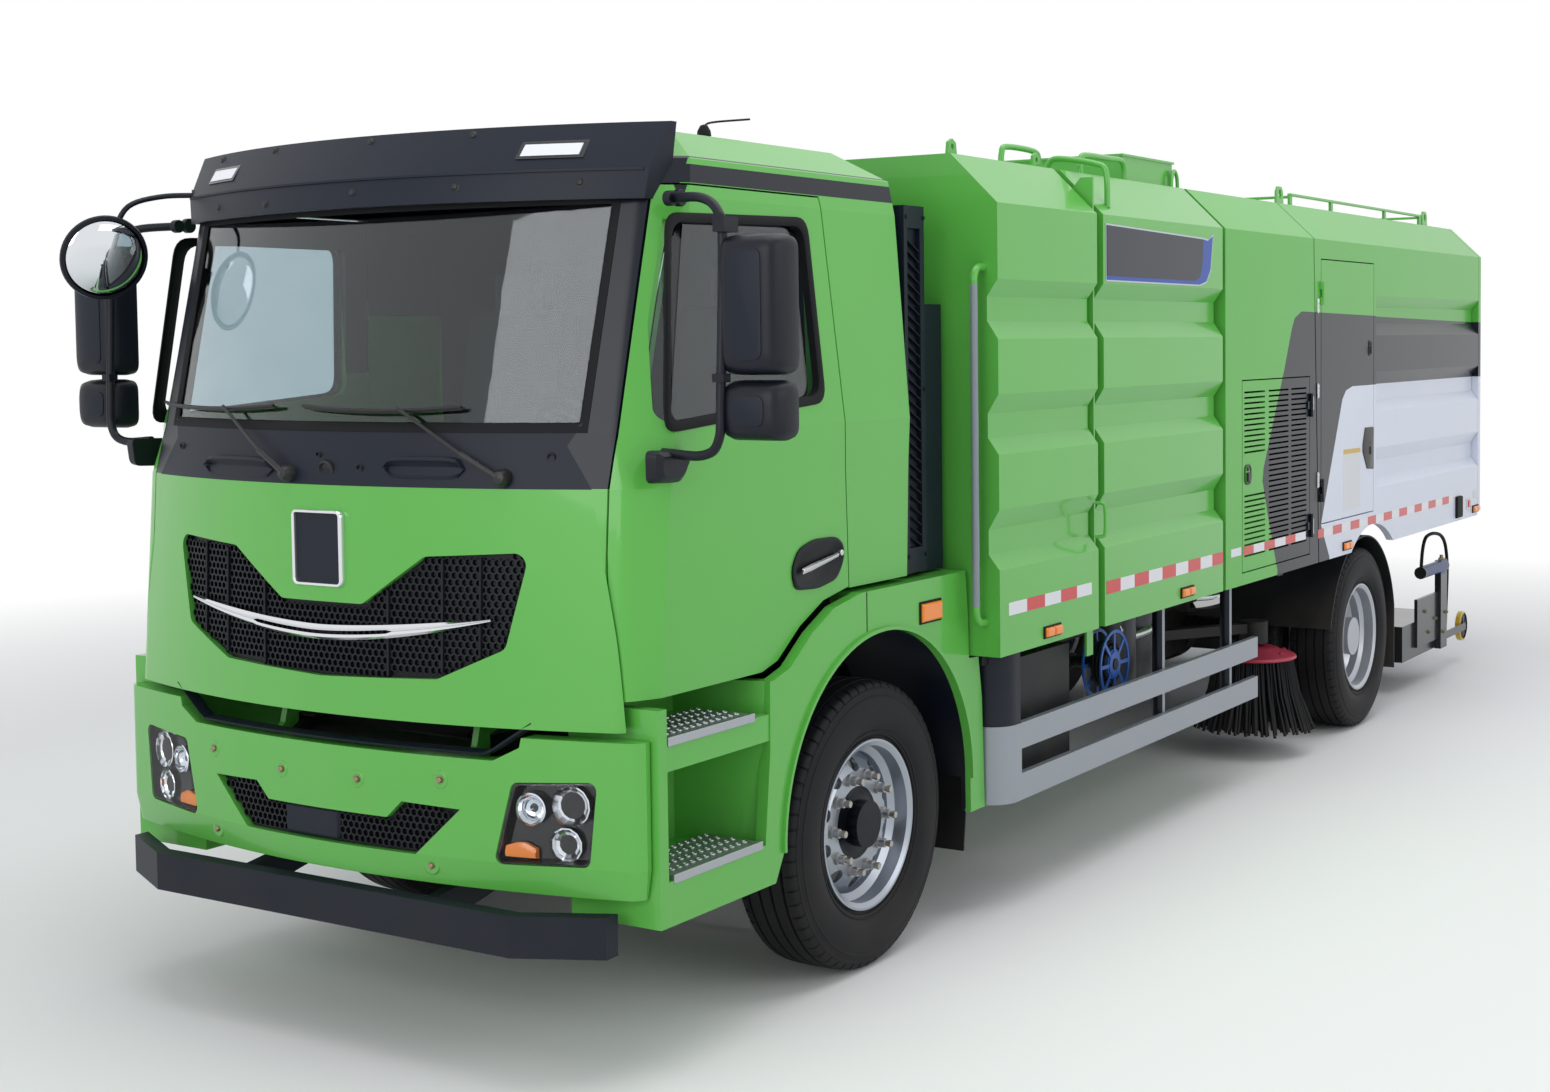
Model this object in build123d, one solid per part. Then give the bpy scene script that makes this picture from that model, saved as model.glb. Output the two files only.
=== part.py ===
from build123d import *
import math
import os

# Street sweeper truck with a tilting cab, two wet tanks, a fan compartment and a tipping hopper.
# Millimetres, +X forward, +Y left, +Z up. Sizes are drawn from the front axle's ground point,
# and the finished pieces are moved so that the origin is under the middle of the whole truck.

# Driving dimensions of the running gear
WHEELBASE = 5100
TYRE_R = 506
TYRE_W = 275
BEAD_R = 286
RIM_LIP_R = 298
RIM_WALL = 12
FRONT_TRACK_HALF = 965
TWIN_MID = 930
TWIN_SPACING = 310
KINGPIN_Y = 835
KINGPIN_R = 23
SPINDLE_R = 35
REAR_SPINDLE_R = 50
RUNNING_FIT = 0.05
STUD_CIRCLE = 335
STUD_COUNT = 10
SEAT_GAP = 0.3
MOVE_GAP = 6

# Driving dimensions of the ladder frame
RAIL_OUT = 430
RAIL_TOP = 970
RAIL_DEEP = 250
RAIL_FLANGE = 80
RAIL_WALL = 10
RAIL_FRONT = 1215
RAIL_REAR = -7080

# Driving dimensions of the cab
CAB_REAR = -220
CAB_NOSE = 1524
CAB_HALF = 1130
CAB_LOW = 1055
CAB_TOP = 2860
CAB_FLOOR = 1420
CAB_WALL = 55
CORNER_R = 95
SILL_Z = 1140
ARCH_Z = 1360
PANEL_TOP = 1768
DOOR_FRONT = 1325
TILT_X = 1360
TILT_Z = 800

# Driving dimensions of the body
BODY_HALF = 1275
BODY_FRONT = -620
SEAM_1 = -1510
SEAM_2 = -2870
SEAM_3 = -4140
BODY_REAR = -7360
BODY_LOW = 1020
SIDE_TOP = 2700
ROOF_Z = 2890
RIDGE_Y = 1080
RIB_DEEP = 45
BODY_WALL = 40
SEAM_GAP = 12
FLOOR_Z = 1140
TIP_X = -6900
TIP_Z = 1030


def slab(x0, x1, y0, y1, z0, z1):
    """Block between two corners."""
    return Pos((x0 + x1) / 2, (y0 + y1) / 2, (z0 + z1) / 2) * Box(abs(x1 - x0), abs(y1 - y0), abs(z1 - z0))


def side_prism(points, y0, y1, radius=0):
    """Outline drawn in side view (x, z) and carried across from y0 to y1."""
    face = make_face(Polyline(*points, close=True))
    if radius:
        face = fillet(face.vertices(), radius)
    return extrude(Plane((0, y0, 0), x_dir=(1, 0, 0), z_dir=(0, -1, 0)) * face, amount=y0 - y1)


def cross_prism(points, x0, x1, radius=0):
    """Outline drawn in front view (y, z) and carried along from x0 to x1."""
    face = make_face(Polyline(*points, close=True))
    if radius:
        face = fillet(face.vertices(), radius)
    return extrude(Plane((x0, 0, 0), x_dir=(0, 1, 0), z_dir=(1, 0, 0)) * face, amount=x1 - x0)


def plan_prism(points, z0, z1, radius=0):
    """Outline drawn in plan (x, y) and carried up from z0 to z1."""
    face = make_face(Polyline(*points, close=True))
    if radius:
        face = fillet(face.vertices(), radius)
    return extrude(Pos(0, 0, z0) * face, amount=z1 - z0)


def rod(start, end, radius):
    """Round bar between two points."""
    a, b = Vector(*start), Vector(*end)
    return Plane(origin=a, z_dir=b - a) * Cylinder(
        radius, (b - a).length, align=(Align.CENTER, Align.CENTER, Align.MIN))


def opposite(shape):
    """The same piece on the other side of the truck."""
    return mirror(shape, about=Plane.XZ)


def both(shape):
    """A left piece and its right twin, as solids that don't touch."""
    return Compound(children=[shape, opposite(shape)])


def ring(points, at, axis=(0, 1, 0)):
    """Outline of (radius, distance along the axis), turned round an axis through a point."""
    face = make_face(Polyline(*points, close=True))
    turned = revolve(Plane.XZ * face, Axis.Z)
    return Plane(origin=at, z_dir=axis) * turned


HINGE_R = 8
HINGE_PIN_R = 4
HINGE_OFF = 10
HINGE_LONG = 40


def hinge_pair(x, z, d):
    """Knuckles of one hinge on the left side: those of the frame, then that of a leaf that lies along d."""
    y = BODY_HALF + HINGE_OFF
    low = z - 1.5 * HINGE_LONG
    pin = rod((x, y, low), (x, y, low + 3 * HINGE_LONG), HINGE_PIN_R)
    bore = rod((x, y, low - 1), (x, y, low + 3 * HINGE_LONG + 1), HINGE_PIN_R + RUNNING_FIT)
    fixed = None
    for z0 in (low, low + 2 * HINGE_LONG):
        knuckle_fixed = rod((x, y, z0), (x, y, z0 + HINGE_LONG), HINGE_R)
        knuckle_fixed += slab(x - d * 26, x, BODY_HALF - 1, y, z0, z0 + HINGE_LONG)
        knuckle_fixed -= bore
        fixed = knuckle_fixed if fixed is None else fixed + knuckle_fixed
    z0 = low + HINGE_LONG + 1
    moving = rod((x, y, z0), (x, y, z0 + HINGE_LONG - 2), HINGE_R)
    moving += slab(x, x + d * 46, BODY_HALF + 1, BODY_HALF + 7, z0, z0 + HINGE_LONG - 2)
    moving += slab(x + d * 16, x + d * 46, BODY_HALF - 1, BODY_HALF + 7, z0, z0 + HINGE_LONG - 2)
    moving += pin
    return fixed, moving


parts = {}

# Ladder frame: two channels with tubular cross members
rail_low = RAIL_TOP - RAIL_DEEP
rail_web = RAIL_OUT - RAIL_WALL
rail_in = RAIL_OUT - RAIL_FLANGE
rail = cross_prism(
    [(rail_in, rail_low), (RAIL_OUT, rail_low), (RAIL_OUT, RAIL_TOP), (rail_in, RAIL_TOP),
     (rail_in, RAIL_TOP - RAIL_WALL), (rail_web, RAIL_TOP - RAIL_WALL),
     (rail_web, rail_low + RAIL_WALL), (rail_in, rail_low + RAIL_WALL)], RAIL_REAR, RAIL_FRONT)
frame = rail + opposite(rail)
CROSS_XS = (1150, -900, -2200, -3500, -WHEELBASE + 750, -WHEELBASE - 750, RAIL_REAR + 100)
for x in CROSS_XS:
    frame += rod((x, -rail_web, RAIL_TOP - 90), (x, rail_web, RAIL_TOP - 90), 55)
# Cab pivot brackets reach forward from the rail ends
PIVOT_Y = 400
EAR_T = 24
PIVOT_R = 20
for side in (1, -1):
    y = side * PIVOT_Y
    ear = side_prism([(RAIL_FRONT - 150, rail_low + 40), (TILT_X - 40, TILT_Z - 45), (TILT_X + 45, TILT_Z - 45),
                      (TILT_X + 45, TILT_Z + 45), (RAIL_FRONT, RAIL_TOP - 20), (RAIL_FRONT - 150, RAIL_TOP - 20)],
                     y - EAR_T / 2, y + EAR_T / 2, 18)
    ear -= rod((TILT_X, y - EAR_T, TILT_Z), (TILT_X, y + EAR_T, TILT_Z), PIVOT_R + RUNNING_FIT)
    frame += ear
# Sub-frame bearers hold the body above the rails
for x in (BODY_FRONT - 120, SEAM_1 - 200, SEAM_2 - 200, SEAM_3 + 200):
    frame += slab(x - 40, x + 40, -BODY_HALF + 120, BODY_HALF - 120, RAIL_TOP, BODY_LOW)
# Tipping pivot lugs
TIP_Y = 380
TIP_PIN_R = 25
for side in (1, -1):
    y = side * TIP_Y
    lug = side_prism([(TIP_X - 90, RAIL_TOP - 60), (TIP_X + 90, RAIL_TOP - 60), (TIP_X + 45, TIP_Z + 45),
                      (TIP_X - 45, TIP_Z + 45)], y - 25, y + 25, 12)
    lug -= rod((TIP_X, y - 30, TIP_Z), (TIP_X, y + 30, TIP_Z), TIP_PIN_R + RUNNING_FIT)
    frame += lug
# Brackets that carry the side brushes and the hose reel
BRUSH_PIVOT = (-3560, 560)
BRUSH_PIN_R = 25
pivot_bracket = slab(-3640, -3480, RAIL_OUT - 5, 520, 735, 900)
pivot_bracket += slab(-3620, -3500, 480, 620, 735, 760)
pivot_bracket += rod((BRUSH_PIVOT[0], BRUSH_PIVOT[1], 636), (BRUSH_PIVOT[0], BRUSH_PIVOT[1], 750), BRUSH_PIN_R)
frame += pivot_bracket
frame += opposite(pivot_bracket)
REEL_AT = (-2010, 1060, 785)
REEL_AXLE_R = 24
frame += slab(REEL_AT[0] - 30, REEL_AT[0] + 30, RAIL_OUT - 5, 905, REEL_AT[2] - 30, REEL_AT[2] + 30)
frame += rod((REEL_AT[0], 900, REEL_AT[2]), (REEL_AT[0], REEL_AT[1] + 50, REEL_AT[2]), REEL_AXLE_R)
# Sleeves in which the posts of the rear nozzle slide
POST_X0 = -6700
POST_X1 = -6600
POST_Y0 = 455
POST_Y1 = 500
sleeve = slab(POST_X0 - 20, POST_X1 + 20, RAIL_OUT - 5, POST_Y1 + 20, 740, 900)
sleeve -= slab(POST_X0 - SEAT_GAP, POST_X1 + SEAT_GAP, POST_Y0 - SEAT_GAP, POST_Y1 + SEAT_GAP, 700, 950)
frame += sleeve
frame += opposite(sleeve)
parts["ladder_frame"] = frame

# Front axle: dropped beam with an upright eye at each end
BEAM_Z = 440
EYE_R = 46
EYE_LOW = 446
EYE_TOP = 566
beam = cross_prism([(-KINGPIN_Y, EYE_LOW + 20), (-600, BEAM_Z - 60), (600, BEAM_Z - 60), (KINGPIN_Y, EYE_LOW + 20),
                    (KINGPIN_Y, EYE_TOP - 20), (600, BEAM_Z + 50), (-600, BEAM_Z + 50), (-KINGPIN_Y, EYE_TOP - 20)],
                   -48, 48)
for face_x in (-50, 30):
    beam -= slab(face_x, face_x + 20, -560, 560, BEAM_Z - 35, BEAM_Z + 25)
for side in (1, -1):
    beam -= slab(-60, 60, side * (KINGPIN_Y - 5), side * (KINGPIN_Y + 60), EYE_LOW - 40, EYE_TOP + 40)
    beam += rod((0, side * KINGPIN_Y, EYE_LOW), (0, side * KINGPIN_Y, EYE_TOP), EYE_R)
    beam -= rod((0, side * KINGPIN_Y, EYE_LOW - 9), (0, side * KINGPIN_Y, EYE_TOP + 9), KINGPIN_R + RUNNING_FIT)
parts["front_axle"] = beam

# Steering knuckles: a fork round the eye, the kingpin, the wheel spindle and the steering arm
FORK_GAP = 1
ARM_BACK = 160
ARM_Z = 396
BALL_R = 14
FRONT_HUB_OUT = 1062


def knuckle(side):
    y = side * KINGPIN_Y
    back = KINGPIN_Y + EYE_R + 12
    body = slab(-45, 45, side * back, side * (back + 30), EYE_LOW - 32, EYE_TOP + 32)
    for z0, z1 in ((EYE_LOW - FORK_GAP - 31, EYE_LOW - FORK_GAP), (EYE_TOP + FORK_GAP, EYE_TOP + FORK_GAP + 31)):
        body += rod((0, y, z0), (0, y, z1), EYE_R)
        body += slab(-45, 45, y, side * (back + 5), z0, z1)
    body += rod((0, y, EYE_LOW - 34), (0, y, EYE_TOP + 34), KINGPIN_R)
    body += rod((0, side * back, TYRE_R), (0, side * FRONT_HUB_OUT, TYRE_R), SPINDLE_R)
    arm = slab(-ARM_BACK, 0, y - 16, y + 16, EYE_LOW - FORK_GAP - 31, EYE_LOW - FORK_GAP - 7)
    arm += rod((-ARM_BACK, y, EYE_LOW - FORK_GAP - 31), (-ARM_BACK, y, EYE_LOW - FORK_GAP - 7), 26)
    arm += rod((-ARM_BACK, y, ARM_Z - 22), (-ARM_BACK, y, EYE_LOW - FORK_GAP - 8), BALL_R)
    return body + arm


parts["knuckle_left"] = knuckle(1)
parts["knuckle_right"] = knuckle(-1)

# Tie rod: its eyes go round the ball pins under the steering arms
TIE_R = 17
tie = rod((-ARM_BACK, -KINGPIN_Y, ARM_Z - 8), (-ARM_BACK, KINGPIN_Y, ARM_Z - 8), TIE_R)
for side in (1, -1):
    tie += rod((-ARM_BACK, side * KINGPIN_Y, ARM_Z - 22), (-ARM_BACK, side * KINGPIN_Y, ARM_Z + 6), 28)
for side in (1, -1):
    tie -= rod((-ARM_BACK, side * KINGPIN_Y, ARM_Z - 40), (-ARM_BACK, side * KINGPIN_Y, ARM_Z + 20),
               BALL_R + (RUNNING_FIT if side > 0 else 2))
parts["tie_rod"] = tie

# Leaf springs, clamped on both axles and hung below the rails
SPRING_Y = 390
SPRING_W = 75


def leaf_spring(x, z_low, half, rise, thick):
    pack = None
    for step, share in enumerate((1.0, 0.72, 0.45)):
        reach = half * share
        lift = rise * share ** 2
        low = z_low + (2 - step) * thick
        upper = ThreePointArc((x - reach, low + thick + lift), (x, low + thick), (x + reach, low + thick + lift))
        lower = ThreePointArc((x + reach, low + lift), (x, low), (x - reach, low + lift))
        leaf = make_face([upper, Line(upper @ 1, lower @ 0), lower, Line(lower @ 1, upper @ 0)])
        leaf = extrude(Plane((0, SPRING_Y - SPRING_W / 2, 0), x_dir=(1, 0, 0), z_dir=(0, -1, 0)) * leaf,
                       amount=-SPRING_W)
        pack = leaf if pack is None else pack + leaf
    top = z_low + 3 * thick + rise
    for end in (-1, 1):
        xe = x + end * (half - 25)
        pack += slab(xe - 30, xe + 30, SPRING_Y - 30, SPRING_Y + 30, top - 25, rail_low)
    return pack


FRONT_SPRING_Z = BEAM_Z + 50
front_spring = leaf_spring(0, FRONT_SPRING_Z, 780, 120, 14)
REAR_AXLE_R = 75
REAR_SPRING_Z = TYRE_R + REAR_AXLE_R
rear_spring = leaf_spring(-WHEELBASE, REAR_SPRING_Z, 640, 60, 20)
parts["leaf_springs"] = Compound(children=[front_spring, opposite(front_spring),
                                           rear_spring, opposite(rear_spring)])

# Driven rear axle: tube, round gear housing and hub spindles
HUB_OUT = 1150
axle = rod((-WHEELBASE, -700, TYRE_R), (-WHEELBASE, 700, TYRE_R), REAR_AXLE_R)
axle += rod((-WHEELBASE, -HUB_OUT, TYRE_R), (-WHEELBASE, HUB_OUT, TYRE_R), REAR_SPINDLE_R)
gear_case = ring([(0, -150), (120, -150), (215, -60), (215, 60), (120, 150), (0, 150)],
                 (-WHEELBASE, 0, TYRE_R), (1, 0, 0))
axle += gear_case
# Drive motor block on the nose of the gear housing, the heavy mass of the drive
axle += slab(-WHEELBASE + 130, -WHEELBASE + 640, -210, 210, TYRE_R - 130, TYRE_R + 150)
parts["rear_axle"] = axle


# Wheels
def tyre(y):
    half = TYRE_W / 2
    bead = 104
    outline = [(BEAD_R + SEAT_GAP, -bead), (RIM_LIP_R + 6, -bead), (RIM_LIP_R + 20, -bead - 12),
               (BEAD_R + 70, -half + 3), (BEAD_R + 110, -half), (TYRE_R - 60, -half + 8), (TYRE_R - 18, -half + 20),
               (TYRE_R - 4, -half + 38), (TYRE_R, 0)]
    outline += [(r, -s) for r, s in reversed(outline[:-1])]
    return ring(outline, (0, y, TYRE_R))


def rim_barrel(y):
    return ring([(RIM_LIP_R, -116), (RIM_LIP_R, -105), (BEAD_R, -104.3), (BEAD_R, -80), (BEAD_R - 24, -60),
                 (BEAD_R - 24, 30), (BEAD_R, 50), (BEAD_R, 104.3), (RIM_LIP_R, 105), (RIM_LIP_R, 116),
                 (RIM_LIP_R - 8, 116), (BEAD_R - RIM_WALL, 106), (BEAD_R - RIM_WALL, 54),
                 (BEAD_R - 24 - RIM_WALL, 36), (BEAD_R - 24 - RIM_WALL, -64), (BEAD_R - RIM_WALL, -84),
                 (BEAD_R - RIM_WALL, -106), (RIM_LIP_R - 8, -116)], (0, y, TYRE_R))


NUT_R = 16
HAND_HOLE_R = 26
HAND_HOLE_CIRCLE = 415


def around(count, radius, y, turn=0.0):
    for n in range(count):
        a = 2 * math.pi * (n + turn) / count
        yield radius * math.cos(a), y, TYRE_R + radius * math.sin(a)


def front_rim(side):
    y = side * FRONT_TRACK_HALF
    d = side
    rim = rim_barrel(y)
    disc = ring([(60, d * 62), (190, d * 62), (225, d * 36), (BEAD_R - 34, d * 10), (BEAD_R - 34, d * -6),
                 (222, d * 20), (186, d * 46), (60, d * 46)], (0, y, TYRE_R))
    hub = ring([(0, d * -36), (95, d * -36), (110, d * 30), (110, d * 46), (110, d * 62), (82, d * 66),
                (82, d * 112), (0, d * 112)], (0, y, TYRE_R))
    rim += disc
    rim += hub
    for x, _, z in around(STUD_COUNT, HAND_HOLE_CIRCLE / 2, y, 0.5):
        rim -= rod((x, y - 90, z), (x, y + 90, z), HAND_HOLE_R)
    for x, _, z in around(STUD_COUNT, STUD_CIRCLE / 2, y):
        rim += rod((x, y + d * 60, z), (x, y + d * 95, z), NUT_R)
    rim -= rod((0, y - d * 60, TYRE_R), (0, side * (FRONT_HUB_OUT + MOVE_GAP), TYRE_R), SPINDLE_R + RUNNING_FIT)
    return rim


def twin_rims(side):
    outer = side * (TWIN_MID + TWIN_SPACING / 2)
    inner = side * (TWIN_MID - TWIN_SPACING / 2)
    d = side
    rims = None
    for y, s in ((outer, d), (inner, -d)):
        half = rim_barrel(y)
        plate = TWIN_SPACING / 2
        half += ring([(100, -s * plate), (195, -s * plate), (225, -s * 100), (BEAD_R - 34, -s * 22),
                      (BEAD_R - 34, -s * 2), (215, -s * 84), (190, -s * (plate - 14)), (100, -s * (plate - 14))],
                     (0, y, TYRE_R))
        rims = half if rims is None else rims + half
    mid = side * TWIN_MID
    for x, _, z in around(STUD_COUNT, HAND_HOLE_CIRCLE / 2, mid, 0.5):
        rims -= rod((x, mid - 60, z), (x, mid + 60, z), HAND_HOLE_R)
    rims += ring([(0, -d * 150), (140, -d * 150), (140, d * 60), (105, d * 80), (105, d * 235), (0, d * 235)],
                 (0, mid, TYRE_R))
    for x, _, z in around(STUD_COUNT, STUD_CIRCLE / 2, mid):
        rims += rod((x, mid, z), (x, mid + d * 50, z), NUT_R)
    rims -= rod((0, mid - d * 160, TYRE_R), (0, side * (HUB_OUT + MOVE_GAP), TYRE_R), REAR_SPINDLE_R + RUNNING_FIT)
    return Pos(-WHEELBASE, 0, 0) * rims


for side, name in ((1, "left"), (-1, "right")):
    parts[f"tyre_front_{name}"] = tyre(side * FRONT_TRACK_HALF)
    parts[f"rim_front_{name}"] = front_rim(side)
    pair = [tyre(side * (TWIN_MID + TWIN_SPACING / 2)), tyre(side * (TWIN_MID - TWIN_SPACING / 2))]
    parts[f"tyres_rear_{name}"] = Pos(-WHEELBASE, 0, 0) * Compound(children=pair)
    parts[f"rims_rear_{name}"] = twin_rims(side)

# Cab: outlines in plan at rising heights, as (z, half width, corner x, corner y, nose x, rear x)
CAB_LEVELS = (
    (CAB_LOW, 1105, 1335, 1062, CAB_NOSE - 10, CAB_REAR),
    (PANEL_TOP, 1122, 1285, 1045, CAB_NOSE - 26, CAB_REAR),
    (1925, CAB_HALF, 1268, 985, 1462, CAB_REAR),
    (2640, 1075, 1105, 975, 1290, CAB_REAR),
    (2760, 1050, 1065, 950, 1245, CAB_REAR),
    (CAB_TOP, 900, 960, 800, 1110, CAB_REAR + 140),
)


def cab_outline(level, inset):
    z, half, corner_x, corner_y, nose, rear = level
    w = half - inset
    side_x = corner_x - 110
    c = (corner_x - 0.75 * inset, corner_y - 0.75 * inset)
    edges = [Line((rear + inset, w), (side_x, w)), Line((side_x, w), c),
             ThreePointArc(c, (nose - inset, 0), (c[0], -c[1])),
             Line((c[0], -c[1]), (side_x, -w)), Line((side_x, -w), (rear + inset, -w)),
             Line((rear + inset, -w), (rear + inset, w))]
    face = make_face(edges)
    corners = [v for v in face.vertices() if abs(v.X - c[0]) < 1]
    return fillet(corners, CORNER_R - 0.6 * inset)


def cab_form(inset, low=CAB_LOW, high=CAB_TOP):
    """The cab's outer form, drawn in on every side by an inset."""
    sections = []
    for level in CAB_LEVELS:
        z = min(max(level[0], low), high)
        sections.append(Pos(0, 0, z) * cab_outline(level, inset))
    return loft(sections, ruled=True)


cab_outer = cab_form(0)
room = cab_form(CAB_WALL, CAB_FLOOR - 700, CAB_TOP - CAB_WALL)
shell = cab_outer - (room & slab(-400, 1600, -1300, 1300, CAB_FLOOR, CAB_TOP))
# The nose hangs in front of the floor, open behind
nose_room = room & slab(DOOR_FRONT - 60, 1600, -1300, 1300, CAB_LOW - 60, CAB_FLOOR + 10)
shell -= nose_room
DOOR_CURVE = [(170, ARCH_Z), (330, 1330), (470, 1262), (600, 1166), (690, SILL_Z)]
shell -= side_prism([(-400, 900), (-400, ARCH_Z)] + DOOR_CURVE + [(DOOR_FRONT, SILL_Z), (DOOR_FRONT, 900)],
                    -1300, 1300)

DOOR_TOP = 2682
DOOR_IN_Y = 990
door_points = [(DOOR_FRONT, SILL_Z), (DOOR_FRONT, 1895), (1296, 1960), (1128, DOOR_TOP), (262, DOOR_TOP),
               (168, ARCH_Z), (330, 1330), (470, 1262), (600, 1166), (690, SILL_Z)]
door_face = make_face(Polyline(*door_points, close=True))


def door_zone(gap, y0, y1):
    face = offset(door_face, amount=-gap, kind=Kind.INTERSECTION) if gap else door_face
    return extrude(Plane((0, y0, 0), x_dir=(1, 0, 0), z_dir=(0, -1, 0)) * face, amount=y0 - y1)


deep_room = cab_form(CAB_WALL + MOVE_GAP, CAB_LOW - 60, CAB_TOP)
door_room = cab_form(CAB_WALL, CAB_LOW - 60, CAB_TOP)
door_hole = door_zone(0, DOOR_IN_Y, 1300) - deep_room
shell -= door_hole
shell -= opposite(door_hole)
# The floor stops short of the door's leading corner, which swings in past it
SWING_X = 1215
SWING_Y = 975
swing_room = slab(SWING_X, DOOR_FRONT, SWING_Y, 1300, CAB_LOW - 20, CAB_FLOOR)
shell -= swing_room
shell -= opposite(swing_room)

window_points = [(1192, 1950), (1108, 2570), (372, 2588), (342, 2012)]
WINDOW_R = 45


def window_zone(gap, y0, y1):
    face = fillet(make_face(Polyline(*window_points, close=True)).vertices(), WINDOW_R)
    face = offset(face, amount=-gap) if gap else face
    return extrude(Plane((0, y0, 0), x_dir=(1, 0, 0), z_dir=(0, -1, 0)) * face, amount=y0 - y1)


WINDOW_IN_Y = DOOR_IN_Y + 36
door = (door_zone(MOVE_GAP, DOOR_IN_Y + MOVE_GAP, 1300) & cab_outer) - door_room
door -= window_zone(0, WINDOW_IN_Y, 1300)
GLASS_T = 6
GLASS_IN = 22
pane_out = cab_form(GLASS_IN, CAB_LOW - 60, CAB_TOP)
pane_in = cab_form(GLASS_IN + GLASS_T, CAB_LOW - 60, CAB_TOP)
door_glass = (window_zone(SEAT_GAP, WINDOW_IN_Y + SEAT_GAP, 1300) & pane_out) - pane_in
parts["cab_door_left"] = door
parts["cab_door_right"] = opposite(door)
parts["door_glass_left"] = door_glass
parts["door_glass_right"] = opposite(door_glass)

# Windscreen opening, glass, cowl with its dark pillars, and the nose panel
screen_points = [(-895, 1948), (895, 1948), (905, 2635), (-905, 2635)]
screen_zone = cross_prism(screen_points, 900, 1700, 40)
cowl_zone = side_prism([(DOOR_FRONT, PANEL_TOP), (DOOR_FRONT, 1895), (1296, 1960), (1128, DOOR_TOP),
                        (1128, 2700), (1700, 2700), (1700, PANEL_TOP)], -1300, 1300)
nose_zone = slab(DOOR_FRONT, 1700, -1300, 1300, CAB_LOW - 20, PANEL_TOP)
shell -= screen_zone
cowl = shell & cowl_zone
nose = shell & nose_zone
shell -= cowl_zone
shell -= nose_zone
SCREEN_IN = 8
screen_face = make_face(Polyline(*screen_points, close=True))
screen_face = offset(fillet(screen_face.vertices(), 40), amount=-SEAT_GAP)
screen_block = extrude(Plane((900, 0, 0), x_dir=(0, 1, 0), z_dir=(1, 0, 0)) * screen_face, amount=800)
windscreen = (screen_block & cab_form(SCREEN_IN, CAB_LOW - 60, CAB_TOP)) - cab_form(SCREEN_IN + GLASS_T,
                                                                                   CAB_LOW - 60, CAB_TOP)
parts["windscreen"] = windscreen
parts["cowl_panel"] = cowl

grille_right = [(-175, 1405), (-412, 1560), (-764, 1580), (-690, 1290), (-458, 1190)]
grille_points = grille_right + [(0, 1172)] + [(-y, z) for y, z in reversed(grille_right)]
GRILLE_R = 38
grille_face = fillet(make_face(Polyline(*grille_points, close=True)).vertices(), GRILLE_R)
nose -= extrude(Plane((1200, 0, 0), x_dir=(0, 1, 0), z_dir=(1, 0, 0)) * grille_face, amount=500)
parts["nose_panel"] = nose
grille_block = extrude(Plane((1200, 0, 0), x_dir=(0, 1, 0), z_dir=(1, 0, 0)) *
                       offset(grille_face, amount=-SEAT_GAP), amount=500)
parts["grille"] = (grille_block & cab_form(22, CAB_LOW - 60, CAB_TOP)) - cab_form(40, CAB_LOW - 60, CAB_TOP)

# Cab arms run down from the floor to the tilt pivot
for side in (1, -1):
    y = side * (PIVOT_Y + EAR_T / 2 + 1 + 12)
    arm = side_prism([(TILT_X + 28, TILT_Z - 28), (TILT_X + 24, TILT_Z + 30), (TILT_X - 75, TILT_Z + 150),
                      (TILT_X - 100, TILT_Z + 250), (TILT_X - 100, SILL_Z + 20), (TILT_X - 230, SILL_Z + 20),
                      (TILT_X - 230, SILL_Z - 10), (TILT_X - 180, RAIL_TOP + 20), (RAIL_FRONT + 10, RAIL_TOP + 8),
                      (RAIL_FRONT + 10, TILT_Z + 60), (TILT_X - 30, TILT_Z - 28)], y - 12, y + 12)
    shell += arm
    shell += rod((TILT_X, side * (PIVOT_Y - EAR_T / 2 - 8), TILT_Z), (TILT_X, y, TILT_Z), PIVOT_R)
parts["cab_shell"] = shell

# Sun visor across the top of the windscreen
VISOR_T = 26


def visor_form(inset):
    sections = []
    for z, ex, ey, nx in ((2632 - inset, 1120, 1000, 1372), (2722, 1112, 1013, 1352), (2868 - inset, 1025, 1034, 1248)):
        w = ey - inset
        arc = ThreePointArc((ex - 0.3 * inset, w), (nx - inset, 0), (ex - 0.3 * inset, -w))
        sections.append(Pos(0, 0, z) * make_face([Line((850, -w), (850, w)), Line((850, w), arc @ 0), arc,
                                                 Line(arc @ 1, (850, -w))]))
    return loft(sections, ruled=True)


visor = visor_form(0) - visor_form(VISOR_T)
visor &= slab(1000, 1500, -1100, 1100, 2600, 2900)
visor -= cab_outer
visor = max(visor.solids(), key=lambda s: s.volume)
parts["sun_visor"] = visor

# Dashboard and seats
dash = side_prism([(1420, CAB_FLOOR), (960, CAB_FLOOR), (930, 1620), (900, 1780), (960, 1850), (1420, 1890)],
                  -1040, 1040)
dash &= cab_form(CAB_WALL + SEAT_GAP, CAB_LOW - 60, CAB_TOP)
dash -= slab(SWING_X, 1500, SWING_Y, 1100, CAB_FLOOR - 10, 2000)
dash -= slab(SWING_X, 1500, -1100, -SWING_Y, CAB_FLOOR - 10, 2000)
SEAT_Y = 520
COLUMN_DIR = Vector(0.45, 0, -0.89).normalized()
wheel_at = Vector(740, SEAT_Y, 1910)
COLUMN_R = 26

seat_side = [(0, 1560), (520, 1590), (540, 1680), (80, 1660), (-20, 2330), (-110, 2330), (-60, 1560)]


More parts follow.
